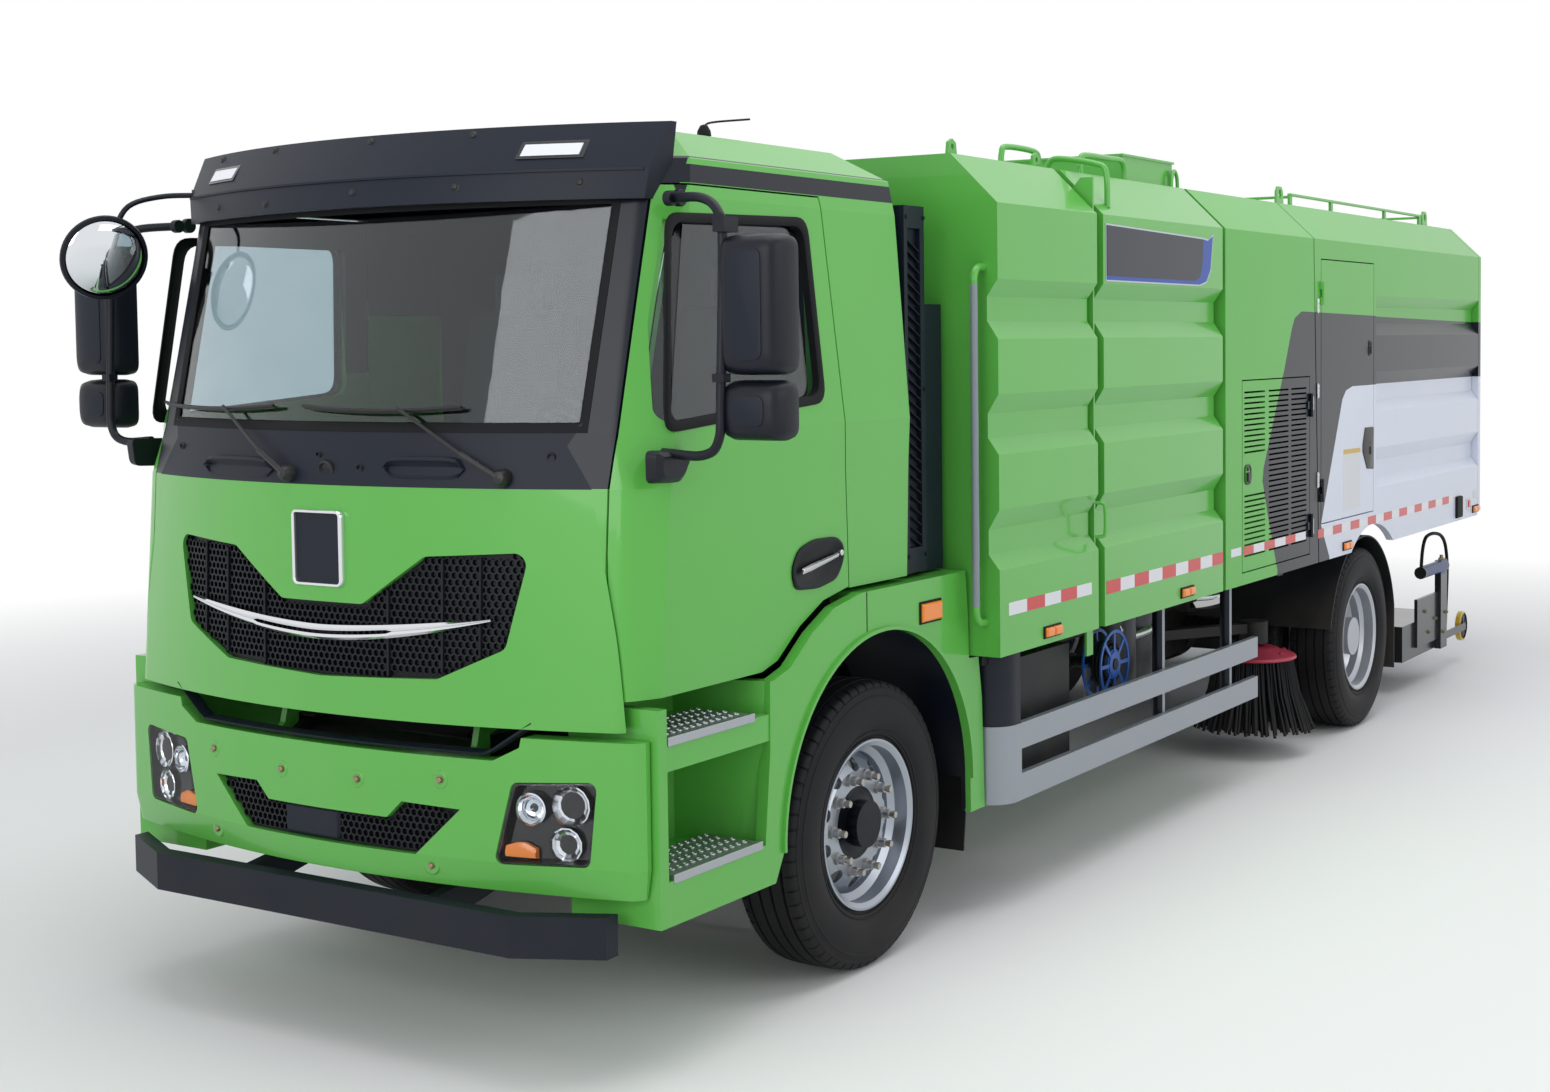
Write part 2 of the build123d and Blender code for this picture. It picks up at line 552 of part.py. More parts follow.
def seat(y):
    body = side_prism(seat_side, y - 235, y + 235, 20)
    body += slab(40, 440, y - 170, y + 170, CAB_FLOOR + SEAT_GAP, 1575)
    body += slab(-100, -40, y - 120, y + 120, 2300, 2470)
    return body


parts["seats"] = Compound(children=[seat(SEAT_Y), seat(-SEAT_Y)])

# Steering wheel on its column
wheel_plane = Plane(origin=tuple(wheel_at), z_dir=tuple(-COLUMN_DIR))
steering = wheel_plane * Torus(215, 16)
steering += wheel_plane * Cylinder(60, 36)
for n in range(3):
    a = math.radians(90 + 120 * n)
    steering += wheel_plane * Rot(0, 0, math.degrees(a)) * Pos(110, 0, 0) * Box(210, 34, 14)
steering += wheel_plane * Pos(0, 0, -150) * Cylinder(COLUMN_R, 300)
parts["steering_wheel"] = steering
column_seat = rod(tuple(wheel_at + COLUMN_DIR * 100), tuple(wheel_at + COLUMN_DIR * 520), 44)
column_seat -= rod(tuple(wheel_at + COLUMN_DIR * 60), tuple(wheel_at + COLUMN_DIR * 306), COLUMN_R + RUNNING_FIT)
parts["dashboard"] = dash + column_seat

# Door mirrors on bent tubes
MIRROR_X = 1150


def door_mirror():
    path = FilletPolyline((1215, 1130, 1875), (1215, 1338, 1875), (1190, 1338, 2610), (1090, 1095, 2630), radius=60)
    tube = sweep(Plane(origin=path @ 0, z_dir=path % 0) * Circle(14), path=path)
    glass_box = side_prism([(0, 0), (120, 0), (120, 400), (0, 400)], -105, 105, 30)
    large = Pos(MIRROR_X - 50, 1430, 2105) * glass_box
    small = Pos(MIRROR_X - 45, 1430, 1915) * side_prism([(0, 0), (110, 0), (110, 170), (0, 170)], -105, 105, 28)
    foot = side_prism([(1290, 1780), (1150, 1780), (1120, 1880), (1300, 1885)], 1126, 1170, 15)
    head = side_prism([(1125, 2600), (1060, 2600), (1055, 2655), (1112, 2660)], 1068, 1110, 10)
    return (tube + large + small + foot + head) - cab_outer


mirror_left = door_mirror()
parts["door_mirror_left"] = mirror_left
parts["door_mirror_right"] = opposite(mirror_left)

# Round mirror on an arm from the visor's right end
ROUND_AT = Vector(1370, -1150, 2512)
ROUND_R = 145
ROUND_DIR = Vector(0.35, 0.9, -0.28).normalized()
round_mirror = Plane(origin=tuple(ROUND_AT), z_dir=tuple(ROUND_DIR)) * Cylinder(ROUND_R, 14)
round_mirror += Plane(origin=tuple(ROUND_AT - ROUND_DIR * 20), z_dir=tuple(ROUND_DIR)) * Cone(70, 120, 34)
arm_path = FilletPolyline(tuple(ROUND_AT - ROUND_DIR * 25), (1300, -1120, 2700), (1180, -1090, 2730),
                          (1085, -1000, 2735), radius=30)
round_mirror += sweep(Plane(origin=arm_path @ 0, z_dir=arm_path % 0) * Circle(9), path=arm_path)
round_mirror -= visor_form(0)
round_mirror -= cab_outer
round_mirror = max(round_mirror.solids(), key=lambda s: s.volume)
parts["round_mirror"] = round_mirror

# Front bumper with its lamps and grille
BUMPER_LOW = 560
BUMPER_TOP = 1030
BUMPER_WALL = 55
BUMPER_BACK = 1296
BUMPER_CORNER_R = 60


def bumper_form(inset):
    """The bumper's plan at rising heights, drawn in by an inset and open behind."""
    sections = []
    back = BUMPER_BACK - inset
    for z, ex, ey, nx in ((BUMPER_LOW, 1335, 1085, 1490), (650, 1345, 1100, 1512), (BUMPER_TOP, 1345, 1100, 1506)):
        w = ey + 22 - inset
        side_x = ex - 30 - inset
        arc = ThreePointArc((ex - inset, ey - inset), (nx - inset, 0), (ex - inset, inset - ey))
        face = make_face([
            Line((back, -w), (back, w)), Line((back, w), (side_x, w)), Line((side_x, w), arc @ 0), arc,
            Line(arc @ 1, (side_x, -w)), Line((side_x, -w), (back, -w))])
        corners = [v for v in face.vertices() if abs(v.X - ex + inset) < 1]
        sections.append(Pos(0, 0, z) * fillet(corners, BUMPER_CORNER_R - 0.6 * inset))
    return loft(sections, ruled=True)


bumper_outer = bumper_form(0)
bumper_core = bumper_form(BUMPER_WALL)
bumper_outer_back = bumper_form(BUMPER_WALL - 5) + slab(RAIL_FRONT - 60, BUMPER_BACK, -500, 500, 700, 950)
bumper = bumper_outer - (bumper_core & slab(1200, 1600, -1300, 1300, BUMPER_LOW + 40, BUMPER_TOP + 50))
bumper -= cross_prism([(-764, 1100), (-740, 1000), (-650, 956), (650, 956), (740, 1000), (764, 1100)], 1250, 1600)
lamp_points = [(988, 910), (714, 895), (649, 645), (962, 655)]
low_grille_points = [(-369, 648), (369, 648), (535, 800), (318, 806), (259, 752), (-259, 752), (-318, 806),
                     (-535, 800)]
lamp_face = fillet(make_face(Polyline(*lamp_points, close=True)).vertices(), 25)
grille_low_face = make_face(Polyline(*low_grille_points, close=True))
front_plane = Plane((1200, 0, 0), x_dir=(0, 1, 0), z_dir=(1, 0, 0))
lamp_hole = extrude(front_plane * lamp_face, amount=500)
bumper -= lamp_hole
bumper -= opposite(lamp_hole)
bumper -= extrude(front_plane * grille_low_face, amount=500)
bumper_arm = slab(RAIL_FRONT - 20, 1480, RAIL_OUT + 20, RAIL_OUT + 40, 760, 900) & bumper_outer_back
bumper_arm += slab(RAIL_FRONT - 80, RAIL_FRONT - 10, RAIL_OUT + SEAT_GAP, RAIL_OUT + 40, 760, 900)
bumper += bumper_arm
bumper += opposite(bumper_arm)
parts["front_bumper"] = bumper
lamp_solid = extrude(front_plane * offset(lamp_face, amount=-SEAT_GAP), amount=500)
lamp_solid = (lamp_solid & bumper_form(8)) - bumper_form(BUMPER_WALL)
parts["headlamps"] = both(lamp_solid)
low_grille = extrude(front_plane * offset(grille_low_face, amount=-SEAT_GAP, kind=Kind.INTERSECTION), amount=500)
low_grille = (low_grille & bumper_form(25)) - bumper_form(40)
parts["bumper_grille"] = low_grille

# Front underrun bar on two brackets
bar_outer = [(1350, 1035), (1478, 770), (1478, -770), (1350, -1035), (1405, -1035), (1530, -770), (1530, 770),
             (1405, 1035)]
bar = plan_prism(bar_outer, 396, 521)
for side in (1, -1):
    bar += side_prism([(1080, rail_low - SEAT_GAP), (1200, rail_low - SEAT_GAP), (1240, 545), (1480, 510), (1480, 410),
                       (1160, 480)], side * 400 - 20, side * 400 + 20)
parts["underrun_bar"] = bar

# Fender with its arch, step well and two treads
FENDER_OUT = 1150
FENDER_T = 40
WELL_BACK = 830
WELL_FRONT = 1250
STEP_LOW = 605
STEP_HIGH = 1018
LIP_OUT = 12
arch = ThreePointArc((640, 560), (10, 1195), (-610, 560))


def fender_left():
    outer = Polyline((-610, 560), (-612, 430), (-722, 430), (-705, 850), (-680, 1008), (-606, 1012),
                     (-600, 1180), (-585, 1320), (-520, 1342), (150, 1342), (320, 1312), (460, 1244), (590, 1150),
                     (690, 1122), (1290, 1122), (1290, 470), (690, 470), (640, 560))
    face = make_face([arch, outer])
    panel = extrude(Plane((0, FENDER_OUT - FENDER_T, 0), x_dir=(1, 0, 0), z_dir=(0, -1, 0)) * face, amount=-FENDER_T)
    # The step well is open above, up to the door
    well_hole = side_prism([(745, STEP_LOW), (WELL_FRONT, STEP_LOW), (WELL_FRONT, 1200), (708, 1200), (712, 900)],
                           1000, 1300)
    panel -= well_hole
    # Well floor, back wall, front wall and the rear wall that leans out to the arch
    panel += slab(690, 1290, WELL_BACK, FENDER_OUT - 5, 545, STEP_LOW)
    panel += slab(690, 1290, WELL_BACK - 20, WELL_BACK, 470, 1122)
    panel += slab(WELL_FRONT, 1290, WELL_BACK - 20, FENDER_OUT - 5, 470, 1122)
    panel += plan_prism([(662, FENDER_OUT - 10), (706, FENDER_OUT - 10), (800, WELL_BACK - 10), (756, WELL_BACK - 10)],
                        545, 1122)
    # Upper step: a shelf with a deep front bar
    panel += slab(740, 1250, WELL_BACK, FENDER_OUT - 12, STEP_HIGH - 30, STEP_HIGH)
    panel += slab(700, 1250, FENDER_OUT - 45, FENDER_OUT - 4, STEP_HIGH - 85, STEP_HIGH)
    # Tread plates
    panel += slab(800, WELL_FRONT - 6, WELL_BACK + 90, FENDER_OUT, STEP_HIGH - 1, STEP_HIGH + 12)
    panel += slab(765, WELL_FRONT - 25, WELL_BACK + 90, FENDER_OUT, STEP_LOW - 1, STEP_LOW + 12)
    # The liner bends over the tyre, and its lip stands out round the arch
    inner_arc = ThreePointArc((640, 560), (10, 1195), (-610, 560))
    outer_arc = ThreePointArc((-622, 560), (10, 1207), (652, 560))
    band = make_face([inner_arc, Line(inner_arc @ 1, outer_arc @ 0), outer_arc, Line(outer_arc @ 1, inner_arc @ 0)])
    panel += extrude(Plane((0, 700, 0), x_dir=(1, 0, 0), z_dir=(0, -1, 0)) * band, amount=-(FENDER_OUT + LIP_OUT - 700))
    # Shelf over the arch, and the stay from the ladder frame
    panel += slab(-590, 150, 1020, FENDER_OUT - 5, 1302, 1342)
    panel += slab(-680, -640, RAIL_OUT + SEAT_GAP, FENDER_OUT - 20, 900, 960)
    return panel


fender = fender_left()
parts["fenders"] = both(fender)

# Cooling louvre columns and the traction battery block behind the cab
BATTERY_FRONT = -400
BATTERY_REAR = -575
battery = slab(BATTERY_REAR, BATTERY_FRONT, -680, 680, RAIL_TOP + SEAT_GAP, 1360)
battery += slab(BATTERY_REAR, BATTERY_FRONT, -1060, 1060, 1350, 2330)
louvre_post = slab(BATTERY_FRONT - 5, -262, 960, 1088, ARCH_Z, 2680)
louvre_cut = slab(-375, -285, 1070, 1100, 1450, 2600)
louvre_post -= louvre_cut
battery += louvre_post
battery += opposite(louvre_post)
parts["battery_rack"] = battery

# Body modules: corrugated sides with a chamfered roof
BANDS = ((1344, 1400, 1493, 1568), (1773, 1835, 1925, 1996), (2200, 2267, 2357, 2420))


def body_section(half=BODY_HALF, ridge=RIDGE_Y, roof=ROOF_Z, top=SIDE_TOP, low=BODY_LOW):
    return [(half, low), (half, top), (ridge, roof), (-ridge, roof), (-half, top), (-half, low)]


def rib_cut(x0, x1, wider=0):
    """The three troughs pressed into a side between two upright edges."""
    cut = None
    for a, b, c, d in BANDS:
        low, high = a - wider, d + wider
        trough = cross_prism([(BODY_HALF + 5, low), (BODY_HALF, low), (BODY_HALF - RIB_DEEP, b - wider),
                              (BODY_HALF - RIB_DEEP, c + wider), (BODY_HALF, high), (BODY_HALF + 5, high)], x0, x1)
        cut = trough if cut is None else cut + trough
    return cut


# The troughs run out at both ends of each tank, with a deep joint between the tanks
TANK_JOINT = 60
FAN_JOINT = 28
ribs = rib_cut(SEAM_2, BODY_FRONT + 1)
front_tank = cross_prism(body_section(), SEAM_1 + TANK_JOINT / 2, BODY_FRONT)
middle_tank = cross_prism(body_section(), SEAM_2 + FAN_JOINT, SEAM_1 - TANK_JOINT / 2)
for side_cut in (ribs, opposite(ribs)):
    front_tank -= side_cut
    middle_tank -= side_cut
# Spacer in the joint, with a flange plate that stands out of it and rises in an ear beside the roof
JOINT_IN = 80
middle_tank += cross_prism(body_section(BODY_HALF - JOINT_IN, RIDGE_Y - 40, ROOF_Z - 40, SIDE_TOP - 40, BODY_LOW + 60),
                           SEAM_1 - TANK_JOINT / 2 - 1, SEAM_1 + TANK_JOINT / 2 - SEAT_GAP)
FLANGE_T = 12
middle_tank += cross_prism(body_section(BODY_HALF - 30, RIDGE_Y - 20, ROOF_Z - 16, SIDE_TOP - 10, BODY_LOW + 70),
                           SEAM_1 - FLANGE_T / 2, SEAM_1 + FLANGE_T / 2)
for side in (1, -1):
    middle_tank += cross_prism([(side * 1140, 2600), (side * 1245, 2600), (side * 1245, 2850), (side * 1190, 2850),
                                (side * 1140, 2790)], SEAM_1 - FLANGE_T / 2, SEAM_1 + FLANGE_T / 2)
    # Hanging bracket under the joint
    middle_tank += slab(SEAM_1 - 95, SEAM_1 - 35, side * 1180, side * 1190, 890, BODY_LOW + 10)
parts["front_tank"] = front_tank
parts["middle_tank"] = middle_tank

# Fan compartment: an open shell with a louvred door each side
SLANT = 50


def slanted(x_mid, x_other):
    """Block from a slanted seam plane forward or back, in side view."""
    return side_prism([(x_mid - SLANT, BODY_LOW - 100), (x_mid + SLANT, ROOF_Z + 100), (x_other, ROOF_Z + 100),
                       (x_other, BODY_LOW - 100)], -1400, 1400)


fan_outer = cross_prism(body_section(), SEAM_3 - 200, SEAM_2 - SEAM_GAP / 2) & slanted(SEAM_3 + SEAM_GAP / 2, 0)
inner_section = body_section(BODY_HALF - BODY_WALL, RIDGE_Y - 20, ROOF_Z - BODY_WALL, SIDE_TOP - 16,
                             BODY_LOW + BODY_WALL)
fan_room = cross_prism(inner_section, SEAM_3 - 200, SEAM_2 - SEAM_GAP / 2 - BODY_WALL)
fan_room &= slanted(SEAM_3 + SEAM_GAP / 2 + BODY_WALL, 0)
fan_house = fan_outer - fan_room
VENT_X0 = -4045
VENT_X1 = -3085
VENT_Z0 = 1075
VENT_Z1 = 1995
fan_house -= slab(VENT_X0, VENT_X1, -1400, -1000, VENT_Z0, VENT_Z1)
fan_house -= slab(VENT_X0, VENT_X1, 1000, 1400, VENT_Z0, VENT_Z1)
VENT_HINGES = (VENT_Z0 + 150, VENT_Z1 - 150)
for z in VENT_HINGES:
    fixed, moving = hinge_pair(VENT_X0, z, 1)
    fan_house += fixed
    fan_house += opposite(fixed)
parts["fan_compartment"] = fan_house
parts["suction_fan"] = slab(-3800, -3250, -350, 350, BODY_LOW + BODY_WALL, 1800)

# Louvred doors: rows of pressed slots in three columns, the leading one parted by the latch panel
DOOR_T = 32
SLOT_H = 9
SLOT_PITCH = 26
LATCH_Z0 = 1440
LATCH_Z1 = 1640
vent_door = slab(VENT_X0 + MOVE_GAP, VENT_X1 - MOVE_GAP, BODY_HALF - DOOR_T, BODY_HALF, VENT_Z0 + MOVE_GAP,
                 VENT_Z1 - MOVE_GAP)
slots = []
for x0, x1, handle in ((-3395, -3115, True), (-3725, -3445, False), (-3990, -3765, False)):
    z = VENT_Z0 + 75
    while z < VENT_Z1 - 40:
        if not (handle and LATCH_Z0 < z < LATCH_Z1):
            slots.append(slab(x0, x1, BODY_HALF - DOOR_T - 5, BODY_HALF + 5, z, z + SLOT_H))
        z += SLOT_PITCH
vent_door = vent_door - slots
for z in VENT_HINGES:
    fixed, moving = hinge_pair(VENT_X0, z, 1)
    vent_door += moving
parts["vent_door_left"] = vent_door
parts["vent_door_right"] = opposite(vent_door)

# Hopper: hollow, with a slanted front, side door and arches for the rear wheels
hopper_outer = cross_prism(body_section(), BODY_REAR + 40, SEAM_3 + 200) & slanted(SEAM_3 - SEAM_GAP / 2, -9000)
low_room = body_section(BODY_HALF - BODY_WALL, RIDGE_Y - 20, ROOF_Z - BODY_WALL, SIDE_TOP - 16, FLOOR_Z + BODY_WALL)
hopper_room = cross_prism(low_room, BODY_REAR - 100, SEAM_3 + 200)
hopper_room &= slanted(SEAM_3 - SEAM_GAP / 2 - BODY_WALL, -9000)
RIB_FRONT = -5150
inner_ribs = Pos(0, -BODY_WALL, 0) * rib_cut(BODY_REAR - 120, RIB_FRONT + BODY_WALL, 22)
hopper_room -= inner_ribs
hopper_room -= opposite(inner_ribs)
hopper = hopper_outer - hopper_room
hopper -= slab(BODY_REAR - 50, SEAM_3 + 200, -BODY_HALF + BODY_WALL, BODY_HALF - BODY_WALL, BODY_LOW - 50, FLOOR_Z)
REAR_ARCH_R = 640
for side in (1, -1):
    hopper -= rod((-WHEELBASE, side * 1200, TYRE_R), (-WHEELBASE, side * 1400, TYRE_R), REAR_ARCH_R)
rear_ribs = rib_cut(BODY_REAR + 36, RIB_FRONT)
hopper -= rear_ribs
hopper -= opposite(rear_ribs)
SIDE_X0 = -5110
SIDE_X1 = -4215
SIDE_Z0 = 1215
SIDE_Z1 = 2600
hopper -= slab(SIDE_X0, SIDE_X1, 1000, 1400, SIDE_Z0, SIDE_Z1)
SIDE_HINGES = (SIDE_Z0 + 180, SIDE_Z1 - 180)
for z in SIDE_HINGES:
    fixed, moving = hinge_pair(SIDE_X1, z, -1)
    hopper += fixed
# Hopper ears on the tipping pins
EAR_R = 46
for side in (1, -1):
    y = side * (TIP_Y + 25 + 1 + 15)
    ear = side_prism([(TIP_X - EAR_R, TIP_Z), (TIP_X + EAR_R, TIP_Z), (TIP_X + 80, FLOOR_Z + 10),
                      (TIP_X - 80, FLOOR_Z + 10)], y - 15, y + 15)
    ear += rod((TIP_X, y - 15, TIP_Z), (TIP_X, y + 15, TIP_Z), EAR_R)
    hopper += ear
    hopper += rod((TIP_X, side * (TIP_Y - 25 - 8), TIP_Z), (TIP_X, y, TIP_Z), TIP_PIN_R)
# Skids that rest on the rails
for side in (1, -1):
    y = side * (RAIL_OUT - 40)
    hopper += slab(-6700, SEAM_3 - 250, y - 30, y + 30, RAIL_TOP + SEAT_GAP, FLOOR_Z + 10)
# Rear door hinges along the roof edge
GATE_AXIS_X = BODY_REAR + 37
GATE_AXIS_Z = ROOF_Z + 14
GATE_BARREL_R = 10
GATE_PIN_R = 6
GATE_HINGE_YS = (-780, 780)
for y in GATE_HINGE_YS:
    bore = rod((GATE_AXIS_X, y - 95, GATE_AXIS_Z), (GATE_AXIS_X, y + 95, GATE_AXIS_Z), GATE_PIN_R + RUNNING_FIT)
    for y0 in (y - 90, y + 30):
        barrel = rod((GATE_AXIS_X, y0, GATE_AXIS_Z), (GATE_AXIS_X, y0 + 60, GATE_AXIS_Z), GATE_BARREL_R)
        barrel += slab(GATE_AXIS_X, GATE_AXIS_X + 60, y0, y0 + 60, ROOF_Z + 4, ROOF_Z + 12)
        barrel += slab(GATE_AXIS_X + 12, GATE_AXIS_X + 60, y0, y0 + 60, ROOF_Z - 1, ROOF_Z + 12)
        hopper += barrel - bore
parts["hopper"] = hopper
side_door = slab(SIDE_X0 + MOVE_GAP, SIDE_X1 - MOVE_GAP, BODY_HALF - DOOR_T, BODY_HALF, SIDE_Z0 + MOVE_GAP,
                 SIDE_Z1 - MOVE_GAP)
for z in SIDE_HINGES:
    fixed, moving = hinge_pair(SIDE_X1, z, -1)
    side_door += moving
parts["side_door"] = side_door

# Rear door, hung at the roof
tailgate = cross_prism(body_section(low=1060), BODY_REAR - 20, BODY_REAR + 40 - MOVE_GAP)
tailgate -= slab(BODY_REAR - 30, BODY_REAR, -BODY_HALF + 150, BODY_HALF - 150, 1250, 2550)
for y in GATE_HINGE_YS:
    tailgate += rod((GATE_AXIS_X, y - 28, GATE_AXIS_Z), (GATE_AXIS_X, y + 28, GATE_AXIS_Z), GATE_BARREL_R)
    tailgate += slab(GATE_AXIS_X - 50, GATE_AXIS_X, y - 28, y + 28, ROOF_Z + 4, ROOF_Z + 12)
    tailgate += slab(GATE_AXIS_X - 50, GATE_AXIS_X - 12, y - 28, y + 28, ROOF_Z - 1, ROOF_Z + 12)
    tailgate += rod((GATE_AXIS_X, y - 88, GATE_AXIS_Z), (GATE_AXIS_X, y + 88, GATE_AXIS_Z), GATE_PIN_R)
parts["tailgate"] = tailgate

# Roof fittings and the grab rail
LUG_T = 12
LUG_Y = 1040
LUG_HOLE_R = 11
LUG_HOLE_UP = 32
ROOF_BOX = (-2830, -2270, 450, 1030)
ROOF_BOX_UP = 112
ROOF_LID = (-2838, -2262, 442, 1038)
ROOF_LID_T = 10
roof_box = slab(*ROOF_BOX, ROOF_Z, ROOF_Z + ROOF_BOX_UP)
roof_box += slab(*ROOF_LID, ROOF_Z + ROOF_BOX_UP, ROOF_Z + ROOF_BOX_UP + ROOF_LID_T)
fittings = [roof_box]
for x in (-700, -1400):
    for side in (1, -1):
        y = side * LUG_Y
        lug = side_prism([(x - 36, ROOF_Z), (x + 36, ROOF_Z), (x + 28, ROOF_Z + 48), (x, ROOF_Z + 62),
                          (x - 28, ROOF_Z + 48)], y - LUG_T / 2, y + LUG_T / 2)
        lug -= rod((x, y - LUG_T, ROOF_Z + LUG_HOLE_UP), (x, y + LUG_T, ROOF_Z + LUG_HOLE_UP), LUG_HOLE_R)
        fittings.append(lug)
grab = FilletPolyline((BODY_FRONT, 1215, 2465), (BODY_FRONT + 75, 1215, 2465), (BODY_FRONT + 75, 1215, 1150),
                      (BODY_FRONT, 1215, 1150), radius=50)
fittings.append(sweep(Plane(origin=grab @ 0, z_dir=grab % 0) * Circle(14), path=grab))
parts["body_fittings"] = Compound(children=fittings)

# Side guards with their posts
GUARD_OUT = 1225
GUARD_T = 28
GUARD_BEND = 110
GUARD_END = -735
guard = slab(-3425, -844, GUARD_OUT - GUARD_T, GUARD_OUT, 628, 728)
guard += slab(-3425, -844, GUARD_OUT - GUARD_T, GUARD_OUT, 430, 533)


def bent_corner(out, thick, z0, z1):
    """Plate that bends round the leading corner of the guard, in plan."""
    turn_x = GUARD_END - GUARD_BEND
    turn_y = GUARD_OUT - GUARD_BEND
    r = GUARD_BEND + out
    a = math.sqrt(0.5)
    far = ThreePointArc((turn_x, turn_y + r), (turn_x + a * r, turn_y + a * r), (turn_x + r, turn_y))
    r -= thick
    near = ThreePointArc((turn_x + r, turn_y), (turn_x + a * r, turn_y + a * r), (turn_x, turn_y + r))
    edges = [far, Line(far @ 1, near @ 0), near, Line(near @ 1, far @ 0)]
    bend = extrude(Pos(0, 0, z0) * make_face(edges), amount=z1 - z0)
    bend += slab(turn_x - 40, turn_x, turn_y + r, turn_y + r + thick, z0, z1)
    bend += slab(turn_x + r, turn_x + r + thick, 1030, turn_y, z0, z1)
    return bend


guard += bent_corner(0, GUARD_T, 430, 728)
for x in (-900, -2325, -3135):
    guard += rod((x, GUARD_OUT - 53, 430), (x, GUARD_OUT - 53, BODY_LOW), 28)
parts["side_guards"] = both(guard)
# Rounded fairing between the guard's leading corner and the tank
fairing = bent_corner(-4, 8, 728 + SEAT_GAP, BODY_LOW - SEAT_GAP)
fairing -= slab(BODY_FRONT - 162, BODY_FRONT - 60, 1000, BODY_HALF - 118, RAIL_TOP - SEAT_GAP, BODY_LOW)
parts["guard_fairings"] = both(fairing)

# Under-body equipment: pump box, filter canisters and a hose reel
equipment = [slab(-1500, -780, 560, 1130, 480, RAIL_TOP - 20), slab(-1500, -780, -1130, -560, 480, RAIL_TOP - 20)]
for side in (1, -1):
    equipment.append(slab(-1300, -1200, side * (RAIL_OUT + SEAT_GAP), side * (560), 800, 900))
parts["pump_boxes"] = Compound(children=[equipment[0] + equipment[2], equipment[1] + equipment[3]])
can = rod((-2650, 900, 600), (-2650, 900, 950), 95) + slab(-2700, -2600, RAIL_OUT + SEAT_GAP, 900, 900, 950)
can += rod((-2400, 900, 560), (-2400, 900, 950), 120) + slab(-2650, -2400, 870, 930, 900, 950)
parts["filter_canisters"] = can
REEL_R = 150
reel_bore = REEL_AXLE_R + RUNNING_FIT
reel = ring([(reel_bore, -45), (REEL_R, -45), (REEL_R, -38), (70, -38), (70, 38), (REEL_R, 38), (REEL_R, 45),
             (reel_bore, 45)], REEL_AT)
parts["hose_reel"] = reel

# Rear mudguards over the twin wheels
GUARD_R = 565
guard_out = ThreePointArc((-WHEELBASE + GUARD_R + 8, 620), (-WHEELBASE, TYRE_R + GUARD_R + 8),
                          (-WHEELBASE - GUARD_R - 8, 620))
guard_in = ThreePointArc((-WHEELBASE - GUARD_R, 620), (-WHEELBASE, TYRE_R + GUARD_R), (-WHEELBASE + GUARD_R, 620))
guard_face = make_face([guard_out, Line(guard_out @ 1, guard_in @ 0), guard_in, Line(guard_in @ 1, guard_out @ 0)])
mudguard = extrude(Plane((0, 630, 0), x_dir=(1, 0, 0), z_dir=(0, -1, 0)) * guard_face, amount=-595)
mudguard += slab(-WHEELBASE - GUARD_R - 8, -WHEELBASE - GUARD_R, 630, 1225, 250, 625)
for x in (-WHEELBASE - 480, -WHEELBASE + 480):
    z = TYRE_R + math.sqrt(GUARD_R ** 2 - 480 ** 2)
    mudguard += slab(x - 25, x + 25, RAIL_OUT + SEAT_GAP, 660, z - 25, z + 25)
parts["rear_mudguards"] = both(mudguard)

# Side brushes: a swinging arm, and a disc with its bristles
BRUSH_AT = (-4140, 935)
BRUSH_HUB_Z = 545


def brush_arm():
    px, py = BRUSH_PIVOT
    bx, by = BRUSH_AT
    body = rod((px, py, 640), (px, py, 720), 50) - rod((px, py, 600), (px, py, 760), BRUSH_PIN_R + RUNNING_FIT)
    run = Vector(bx - px, by - py, 0)
    mid = Plane(origin=(px, py, 665), x_dir=tuple(run), z_dir=(0, 0, 1))
    body += (mid * Pos(run.length / 2, 0, 0) * Box(run.length - 60, 70, 50)) - rod((px, py, 600), (px, py, 760),
                                                                                BRUSH_PIN_R + RUNNING_FIT)
    body += rod((bx, by, 585), (bx, by, 700), 75)
    body += rod((bx, by, 480), (bx, by, 590), 22)
    return body


def brush():
    bx, by = BRUSH_AT
    disc = ring([(22 + RUNNING_FIT, -20), (215, -20), (225, -5), (150, 22), (22 + RUNNING_FIT, 22)],
                (bx, by, BRUSH_HUB_Z), (0, 0, 1))
    skirt = ring([(120, -20), (215, -20), (320, -420), (250, -425)], (bx, by, BRUSH_HUB_Z), (0, 0, 1))
    return disc + skirt


for side, name in ((1, "left"), (-1, "right")):
    arm = brush_arm()
    sweepers = brush()
    parts[f"brush_arm_{name}"] = arm if side > 0 else opposite(arm)
    parts[f"side_brush_{name}"] = sweepers if side > 0 else opposite(sweepers)

# Rear suction nozzle in its raised place, with guides, end plates and trailing casters
NOZZLE_X0 = -7000
NOZZLE_X1 = -6150
nozzle = slab(NOZZLE_X0, NOZZLE_X1, -1130, 1130, 200, 420)
nozzle -= slab(NOZZLE_X0 + 60, NOZZLE_X1 - 60, -1070, 1070, 150, 380)
for side in (1, -1):
    nozzle += slab(-6990, -6850, side * 1130, side * 1170, 195, 760)
    nozzle += slab(-7000, -6400, side * 1130, side * 1150, 260, 560)
    nozzle += rod((-6980, side * 1150, 720), (-6460, side * 1150, 720), 38)
    nozzle += slab(-7560, -6990, side * 1130, side * 1138, 225, 275)
    nozzle += rod((-7560, side * 1085, 250), (-7560, side * 1138, 250), 12)
    nozzle += slab(POST_X0, POST_X1, side * POST_Y0, side * POST_Y1, 410, 940)
parts["rear_nozzle"] = nozzle
